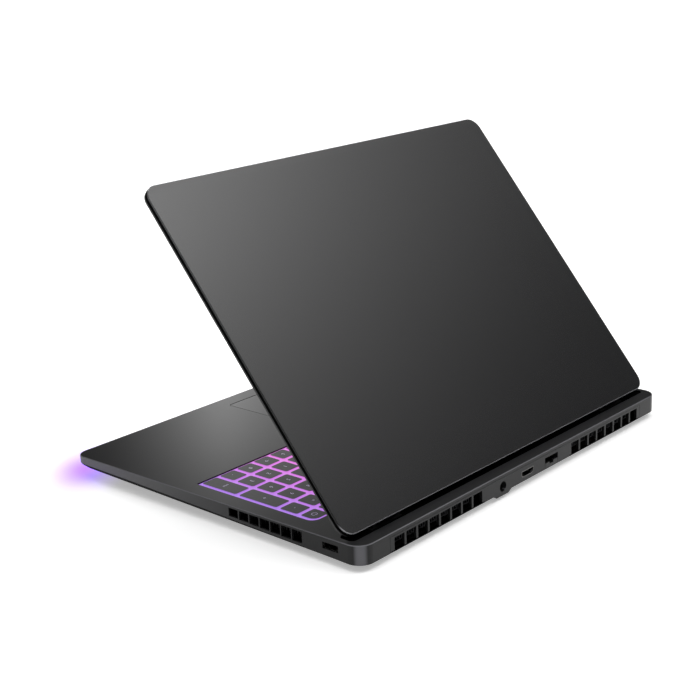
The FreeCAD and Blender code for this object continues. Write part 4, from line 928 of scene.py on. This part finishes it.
@dataclass
class Keyboard(SubAssembly):
    """Keys with their legends, the light guide, the tray and the touchpad."""

    nodes: Names = ("function_row_keys", "number_row_keys", "upper_row_keys", "home_row_keys",
                    "lower_row_keys", "bottom_row_keys", "space_bar", "enter_key", "numpad_enter_key",
                    "numpad_plus_key", "power_key", "key_light_grid", "keyboard_tray", "touchpad",
                    "touchpad_frame")
    legends: dict[str, str] = field(default_factory=lambda: {
        "function_row_keys": "esc f1 f2 f3 f4 f5 f6 f7 f8 f9 f10 f11 f12 del home end prt",
        "number_row_keys": "`|~ 1|! 2|@ 3|# 4|$ 5|% 6|^ 7|& 8|* 9|( 0|) -|_ =|+ back num / * -",
        "upper_row_keys": "tab Q W E R T Y U I O P [|{ ]|} \\|| 7 8 9",
        "home_row_keys": "caps A S D F G H J K L ;|: '|\" 4 5 6",
        "lower_row_keys": "shift Z X C V B N M ,|< .|> /|? shift ↑ 1 2 3",
        "bottom_row_keys": "ctrl fn menu alt alt ctrl ← ↓ → 0 .",
        "enter_key": "enter",
        "numpad_enter_key": "enter",
        "numpad_plus_key": "+",
    })
    ink_mm: float = 0.03
    letter_steps: int = 2
    pair_mm: float = 2.6
    bar_mm: Triple = (3.6, 0.5, 0.4)
    bar_inset_mm: float = 2.6
    bar_round_mm: float = 0.12
    power_ring_mm: Span = (1.75, 2.2)
    power_stroke_mm: Span = (0.6, 2.4)
    power_gap: float = 40.0
    power_steps: int = 28

    def build(self) -> None:
        """Make the legends, the finger bars and the power symbol."""
        for node, words in self.legends.items():
            self.build_legends(node, words.split())
        self.build_finger_bars()
        self.build_power_symbol()

    def build_legends(self, node: str, words: Sequence[str]) -> None:
        """Letter one row of keys.

        Args:
            node: The row's CAD node, which is a body of the same name.
            words: One legend for each key, from left to right; a pair is written as lower|upper.
        """
        texts = []
        pair = Vector((0.0, self.pair_mm * MM, 0.0))
        for word, key in zip(words, islands(node), strict=True):
            spot = Vector((*middle(key).xy, key[1].z))
            if word[1:2] == "|":
                texts.append(self.lettering(word[0], Legend.PAIR, spot - pair))
                texts.append(self.lettering(word[2], Legend.PAIR, spot + pair))
            else:
                texts.append(self.lettering(word, Legend.LETTER if len(word) == 1 else Legend.WORD, spot))
        name = node.removesuffix("_keys").removesuffix("_key") + "_legends"
        settle(mesh_object(name, joined(texts)), node, LEGEND)

    def lettering(self, word: str, style: Legend, spot: Vector) -> Mesh:
        """Make one legend as a thin solid, half sunk into the key.

        Args:
            word: The letters.
            style: Their size.
            spot: The middle of the legend, on the key's top.

        Returns:
            The legend's mesh in its place.
        """
        curve = bpy.data.curves.new("legend", "FONT")
        curve.body = word
        curve.size = style.value * MM
        curve.align_x = "CENTER"
        curve.align_y = "CENTER"
        curve.extrude = self.ink_mm * MM
        curve.resolution_u = self.letter_steps
        text = bpy.data.objects.new("legend", curve)
        bpy.context.scene.collection.objects.link(text)
        mesh = kept_mesh(text)
        bpy.data.curves.remove(curve)
        mesh.transform(Matrix.Translation(spot))
        return mesh

    def build_finger_bars(self) -> None:
        """Raise the small bars on the two home keys that the forefingers find."""
        keys = islands("home_row_keys")
        words = self.legends["home_row_keys"].split()
        half = Vector(self.bar_mm) / 2 * MM
        places = []
        for letter in ("F", "J"):
            low, high = keys[words.index(letter)]
            spot = Vector((middle((low, high)).x, low.y + self.bar_inset_mm * MM, high.z))
            places.append((spot - half, spot + half))
        bars = blocks(places, self.bar_round_mm)
        settle(mesh_object("finger_bars", bars), "home_row_keys", KEY)

    def build_power_symbol(self) -> None:
        """Draw the plain on-off sign, a broken ring and a bar, on the power key."""
        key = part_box("power_key")
        spot = Vector((*middle(key).xy, key[1].z))
        inner, outer = self.power_ring_mm
        low, high = self.power_stroke_mm
        half = (outer - inner) / 2
        sweep = 360 - 2 * self.power_gap
        shape = bmesh.new()
        rims = []
        for step in range(self.power_steps + 1):
            turn = math.radians(90 + self.power_gap + sweep * step / self.power_steps)
            ray = Vector((math.cos(turn), math.sin(turn), 0.0))
            rims.append([shape.verts.new(spot + ray * r * MM) for r in (inner, outer)])
        faces = [shape.faces.new((a[0], a[1], b[1], b[0])) for a, b in zip(rims, rims[1:])]
        corners = [(-half, low), (half, low), (half, high), (-half, high)]
        faces.append(shape.faces.new([shape.verts.new(spot + Vector((x, y, 0.0)) * MM) for x, y in corners]))
        raised = bmesh.ops.extrude_face_region(shape, geom=faces, use_keep_orig=True)
        lift = [v for v in raised["geom"] if isinstance(v, bmesh.types.BMVert)]
        bmesh.ops.translate(shape, verts=lift, vec=(0.0, 0.0, self.ink_mm * MM))
        settle(mesh_object("power_symbol", plain_mesh(shape)), "power_key", LEGEND)


@dataclass(frozen=True)
class ContactRow:
    """A row of contacts in a socket, in millimetres."""

    name: str
    count: int
    first: Triple
    step: Triple
    bar: Triple
    tilt: float = 0.0
    finish: Finish = GOLD


@dataclass(frozen=True)
class MouthRim:
    """The thin metal rim in the mouth of a socket, in millimetres."""

    name: str
    wall: Wall
    outline: Spans
    depth: Span
    width: float

    def spot(self, across: float, depth: float, up: float) -> Vector:
        """Place a point of the rim in its wall."""
        return Vector((across, depth, up) if self.wall is Wall.REAR else (depth, across, up)) * MM


@dataclass
class Ports(SubAssembly):
    """The sockets in the rear and side walls, with their contacts, rims and linings."""

    nodes: Names = ("dc_jack", "video_port", "ethernet_socket", "ethernet_jaw", "usb_a_port", "usb_c_ports",
                    "audio_jack")
    special: dict[str, Finish] = field(default_factory=lambda: {"ethernet_jaw": JAW})
    rows: tuple[ContactRow, ...] = (
        ContactRow("usb_a_contacts", 4, (168.5, 106.1, 12.2), (0.0, 7 / 3, 0.0), (7.5, 1.0, 0.2)),
        ContactRow("usb_a_springs", 2, (173.0, 106.6, 10.1), (0.0, 6.0, 0.0), (5.0, 2.2, 0.4),
                   finish=NICKEL),
        *(ContactRow(f"{place}_usb_c_{side}_contacts", 12, (-170.0, y, z), (0.0, 0.5, 0.0), (5.0, 0.26, 0.1))
          for place, y in (("rear", 110.25), ("front", 96.25))
          for side, z in (("upper", 12.55), ("lower", 11.85))),
        ContactRow("video_upper_contacts", 10, (-3.4, 124.5, 10.65), (1.0, 0.0, 0.0), (0.45, 9.0, 0.16)),
        ContactRow("video_lower_contacts", 9, (-2.9, 124.5, 9.45), (1.0, 0.0, 0.0), (0.45, 9.0, 0.16)),
        ContactRow("network_contacts", 8, (-32.2, 124.6, 11.1), (1.02, 0.0, 0.0), (0.4, 9.6, 0.3), 18.0),
    )
    inlet_mm: Triple = (30.6, 132.3, 8.8)
    inlet_lining: Spans = ((3.64, -8.0), (3.3, -8.0), (3.3, -0.4), (3.5, -0.05), (3.64, -0.05))
    pin_sleeve: Spans = ((0.58, -10.8), (0.9, -10.8), (0.9, -6.4), (0.75, -6.0), (0.58, -6.0))
    rims: tuple[MouthRim, ...] = (
        MouthRim("video_port_rim", Wall.REAR, ((-6.18, 11.98), (-6.18, 9.1), (-4.6, 7.52), (6.8, 7.52),
                                               (8.38, 9.1), (8.38, 11.98)), (134.0, 134.45), 0.35),
        MouthRim("usb_a_port_rim", Wall.RIGHT, ((103.22, 9.92), (115.98, 9.92), (115.98, 14.38),
                                                (103.22, 14.38)), (176.3, 177.0), 0.35),
    )
    audio_mm: Triple = (-176.45, -34.0, 13.5)
    audio_lining: Spans = ((1.79, -3.0), (1.55, -3.0), (1.55, -0.3), (1.7, -0.05), (1.79, -0.05))

    def build(self) -> None:
        """Make the contacts, the angular sockets' rims and the round sockets' linings."""
        bars = BarRow()
        for row in self.rows:
            contacts = bars.row(row.finish, row.count, Vector(row.first), Vector(row.step), Vector(row.bar),
                                row.tilt)
            settle(mesh_object(row.name, contacts), "base", row.finish)
        for rim in self.rims:
            self.build_rim(rim)
        self.build_lining("power_inlet_lining", self.inlet_lining, self.inlet_mm, Wall.REAR, SOCKET)
        self.build_lining("power_pin_sleeve", self.pin_sleeve, self.inlet_mm, Wall.REAR, NICKEL)
        self.build_lining("headset_socket_lining", self.audio_lining, self.audio_mm, Wall.LEFT, NICKEL)

    def build_rim(self, rim: MouthRim) -> None:
        """Line the mouth of an angular socket with its thin metal rim.

        Args:
            rim: The rim's sizes.
        """
        across, up = zip(*rim.outline)
        centre = ((min(across) + max(across)) / 2, (min(up) + max(up)) / 2)
        shrink = [1 - rim.width / (max(v) - c) for v, c in zip((across, up), centre)]
        inner = [tuple(c + (p - c) * s for p, c, s in zip(point, centre, shrink)) for point in rim.outline]
        shape = bmesh.new()
        back, front = rim.depth
        rings = ((rim.outline, back), (rim.outline, front), (inner, front), (inner, back))
        close_rings(shape, [[shape.verts.new(rim.spot(u, depth, v)) for u, v in ring]
                            for ring, depth in rings])
        settle(mesh_object(rim.name, plain_mesh(shape)), "base", NICKEL)

    def build_lining(self, name: str, profile: Spans, mouth_mm: Triple, wall: Wall,
                     finish: Finish) -> None:
        """Turn one round lining in the mouth of its socket.

        Args:
            name: The piece's name.
            profile: Radius and height of its section, with the mouth at height 0.
            mouth_mm: The middle of the mouth.
            wall: The wall that the socket is in.
            finish: Its finish.
        """
        ring = turned(profile, Vector(mouth_mm) * MM, Vector(wall.value))
        settle(mesh_object(name, ring), "base", finish)


@dataclass
class Insides(SubAssembly):
    """Electronics, battery, speakers and cooling."""

    nodes: Names = ("motherboard", "graphics_chip", "processor", "cold_plate", "heat_pipes",
                    "memory_modules", "solid_state_drive", "wireless_card", "battery_pack", "speakers",
                    "right_fan_housing", "left_fan_housing", "right_fan_rotor", "left_fan_rotor",
                    "right_fin_stack", "left_fin_stack")


@dataclass
class Studio:
    """Floor, light and camera."""

    floor_radius: float = 14.0
    floor_sides: int = 96
    floor_drop: float = 0.0001
    floor_tone: str = "#f7f7f7"
    floor_fill: float = 0.42
    # Tone and extra glow of the painted violet light that stands for the light bar's light on the floor.
    painted_glow_tone: str = "#a478ff"
    painted_glow_lift: float = 0.52
    # Middle and half sizes of each patch of painted violet light on the floor.
    painted_corner_glow: tuple[Span, Span] = ((0.164, -0.143), (0.067, 0.04))
    corner_turn: float = 40.5
    painted_front_glow: tuple[Span, Span] = ((0.0, -0.128), (0.19, 0.036))
    eye: Triple = (0.76614, 0.64780, 0.37920)
    azimuth: float = 131.297
    elevation: float = 16.885
    roll: float = -2.021
    lens: float = 73.335
    sensor: float = 36.0
    clip: Span = (0.01, 100.0)
    sky_strength: float = 7.0
    # Elevations in degrees, and the radiance of the dome and of the panel there.
    dome: Spans = ((3.0, 1.0), (9.0, 0.03), (22.0, 0.006), (30.0, 0.1), (40.0, 0.35), (52.0, 0.8),
                   (60.0, 1.6), (70.0, 2.2), (89.0, 2.4))
    panel: Spans = ((24.0, 0.0), (27.0, 0.05), (30.0, 0.21), (35.0, 0.86), (38.5, 1.6), (41.0, 2.95),
                    (44.0, 5.6), (48.0, 6.8), (53.0, 1.8), (57.0, 0.0))
    # The way to the panel's middle, and how far from it the panel begins and is full, in degrees.
    panel_azimuth: float = 149.6
    panel_reach: Span = (17.8, 0.0)
    palm_light: Triple = (-0.2017, -0.2908, 0.1449)
    palm_aim: Triple = (0.69, 0.72, -0.1)
    palm_size: Span = (0.415, 0.23)
    palm_radiance: float = 2.0
    # Places from 0 to 1 across and up the softbox, and the share of its radiance there.
    palm_across: Spans = ((0.5, 0.55), (0.57, 0.72), (0.64, 1.0), (0.67, 0.97), (0.7, 0.8), (0.78, 0.45),
                          (0.88, 0.15), (0.93, 0.05), (1.0, 0.0))
    palm_up: Spans = ((0.48, 1.0), (0.66, 0.69), (0.75, 0.42), (0.98, 0.13))

    def build(self) -> None:
        """Set up the whole studio."""
        self.build_floor()
        self.build_sky()
        self.build_lamps()
        self.build_camera()
        bpy.context.scene.view_settings.view_transform = "Standard"

    def build_floor(self) -> None:
        """Lay the pale floor."""
        shape = bmesh.new()
        bmesh.ops.create_circle(shape, cap_ends=True, segments=self.floor_sides,
                                radius=self.floor_radius)
        bmesh.ops.translate(shape, verts=shape.verts, vec=(0.0, 0.0, -self.floor_drop))
        mesh = bpy.data.meshes.new("floor")
        shape.to_mesh(mesh)
        shape.free()
        floor = mesh_object("floor", mesh)
        mesh.materials.append(self.floor_material())

    def floor_material(self) -> Material:
        """Make the floor's paint: white, a little filled in its shadows, with painted violet light near the
        light bar that also glows.

        Returns:
            The floor's material.
        """
        material = bpy.data.materials.new("painted_studio_floor")
        tree = empty_tree(material)
        clear = self.outside_painted_glow(tree)
        tones = {0: clear, 6: linear(self.painted_glow_tone), 7: linear(self.floor_tone)}
        tint = add_node(tree, "ShaderNodeMix", tones, data_type="RGBA").outputs[2]
        rays = add_node(tree, "ShaderNodeLightPath").outputs
        seen = add_node(tree, "ShaderNodeMath", [rays["Is Camera Ray"], rays["Is Glossy Ray"]],
                        operation="MAXIMUM")
        shown = add_node(tree, "ShaderNodeMath", [seen, rays["Is Transmission Ray"]], operation="MAXIMUM")
        share = add_node(tree, "ShaderNodeMath", [shown, self.floor_fill], operation="MULTIPLY")
        # Painted light: the violet patches glow a little on their own.
        lift = add_node(tree, "ShaderNodeMapRange", {0: clear, 3: self.painted_glow_lift, 4: 0.0})
        strength = add_node(tree, "ShaderNodeMath", [share, lift], operation="ADD")
        coat = add_node(tree, "ShaderNodeBsdfDiffuse", {"Color": tint})
        fill = add_node(tree, "ShaderNodeEmission", {"Color": tint, "Strength": strength})
        both = add_node(tree, "ShaderNodeAddShader", [coat, fill])
        add_node(tree, "ShaderNodeOutputMaterial", {"Surface": both})
        return material

    def outside_painted_glow(self, tree: NodeTree) -> NodeSocket:
        """Find the floor outside the patches of painted violet light, under the front edge and at its two
        corners.

        Args:
            tree: The floor's node tree.

        Returns:
            A socket from 0 in the painted violet light to 1 outside it.
        """
        place = add_node(tree, "ShaderNodeTexCoord").outputs["Object"]
        spot = add_node(tree, "ShaderNodeSeparateXYZ", [place]).outputs
        reach = add_node(tree, "ShaderNodeMath", [spot["X"]], operation="ABSOLUTE")
        folded = add_node(tree, "ShaderNodeCombineXYZ", [reach, spot["Y"]])
        fades = []
        for (centre, size), turn in ((self.painted_corner_glow, self.corner_turn), (self.painted_front_glow, 0.0)):
            patch = add_node(tree, "ShaderNodeMapping",
                             {"Vector": folded, "Location": (*centre, 0.0), "Scale": (*size, 1.0),
                              "Rotation": (0.0, 0.0, math.radians(turn))}, vector_type="TEXTURE")
            far = add_node(tree, "ShaderNodeVectorMath", [patch], operation="LENGTH").outputs["Value"]
            fades.append(add_node(tree, "ShaderNodeMapRange", [far], interpolation_type="SMOOTHSTEP"))
        return add_node(tree, "ShaderNodeMath", fades, operation="MULTIPLY").outputs[0]

    def build_sky(self) -> None:
        """Light the set with a soft dome and a bright panel half-way up behind the left of the lid."""
        world = bpy.data.worlds.new("studio_dome")
        bpy.context.scene.world = world
        tree = empty_tree(world)
        way = add_node(tree, "ShaderNodeTexCoord").outputs["Generated"]
        height = add_node(tree, "ShaderNodeSeparateXYZ", [way]).outputs["Z"]
        share = add_node(tree, "ShaderNodeMapRange", [height, -1.0, 1.0])
        dome, panel = (add_node(tree, "ShaderNodeValToRGB", [share], stops=self.sky_stops(tones))
                       for tones in (self.dome, self.panel))
        level = add_node(tree, "ShaderNodeVectorMath", [way, (1.0, 1.0, 0.0)], operation="MULTIPLY")
        bearing = add_node(tree, "ShaderNodeVectorMath", [level], operation="NORMALIZE")
        turn = math.radians(self.panel_azimuth)
        middle_way = (math.cos(turn), math.sin(turn), 0.0)
        near = add_node(tree, "ShaderNodeVectorMath", [bearing, middle_way], operation="DOT_PRODUCT")
        edges = [math.cos(math.radians(reach)) for reach in self.panel_reach]
        within = add_node(tree, "ShaderNodeMapRange", [near.outputs["Value"], *edges],
                          interpolation_type="SMOOTHSTEP")
        lit = add_node(tree, "ShaderNodeVectorMath", {0: panel, "Scale": within}, operation="SCALE")
        both = add_node(tree, "ShaderNodeVectorMath", [dome, lit], operation="ADD")
        light = add_node(tree, "ShaderNodeBackground", {"Color": both, "Strength": self.sky_strength})
        add_node(tree, "ShaderNodeOutputWorld", {"Surface": light})

    def sky_stops(self, tones: Spans) -> Stops:
        """Turn elevations and radiances into stops of a ramp over the sine of the elevation."""
        return [((math.sin(math.radians(rise)) + 1) / 2, grey(tone / self.sky_strength))
                for rise, tone in tones]

    def build_lamps(self) -> None:
        """Stand a softbox low at the front left, which brightens the palm rest and fades at two edges."""
        lamp = bpy.data.lights.new("palm_rest_softbox", "AREA")
        lamp.shape = "RECTANGLE"
        lamp.size, lamp.size_y = self.palm_size
        lamp.energy = self.palm_radiance * math.pi * lamp.size * lamp.size_y
        tree = empty_tree(lamp)
        spot = add_node(tree, "ShaderNodeNewGeometry").outputs["Parametric"]
        place = add_node(tree, "ShaderNodeSeparateXYZ", [spot]).outputs
        across, up = (add_node(tree, "ShaderNodeValToRGB", [place[axis]],
                               stops=[(part, grey(share)) for part, share in fade])
                      for axis, fade in (("X", self.palm_across), ("Y", self.palm_up)))
        cloth = add_node(tree, "ShaderNodeVectorMath", [across, up], operation="MULTIPLY")
        light = add_node(tree, "ShaderNodeEmission", {"Color": cloth})
        add_node(tree, "ShaderNodeOutputLight", {"Surface": light})
        stand = bpy.data.objects.new("palm_rest_softbox", lamp)
        stand.location = self.palm_light
        stand.rotation_mode = "QUATERNION"
        stand.rotation_quaternion = Vector(self.palm_aim).to_track_quat("-Z", "Y")
        stand.visible_camera = False
        bpy.context.scene.collection.objects.link(stand)

    def build_camera(self) -> None:
        """Stand the camera where the photograph was taken from."""
        turn, rise = math.radians(self.azimuth), math.radians(self.elevation)
        back = Vector((math.sin(turn) * math.cos(rise), -math.cos(turn) * math.cos(rise), math.sin(rise)))
        lens = bpy.data.cameras.new("camera")
        lens.lens, lens.sensor_width = self.lens, self.sensor
        lens.clip_start, lens.clip_end = self.clip
        camera = bpy.data.objects.new("camera", lens)
        camera.location = self.eye
        camera.rotation_mode = "QUATERNION"
        level = (-back).to_track_quat("-Z", "Y")
        camera.rotation_quaternion = level @ Quaternion((0, 0, 1), math.radians(self.roll))
        bpy.context.scene.collection.objects.link(camera)
        bpy.context.scene.camera = camera


def main() -> None:
    """Dress the frame, add the pieces and set up the studio."""
    logging.basicConfig(level=logging.INFO, format="%(name)s: %(message)s")
    for part in (Casing(), Lid(), Hinges(), Keyboard(), Ports(), Insides()):
        LOG.info("sub-assembly %s", type(part).__name__)
        part.dress()
        part.build()
    Studio().build()


if __name__ == "__main__":
    main()
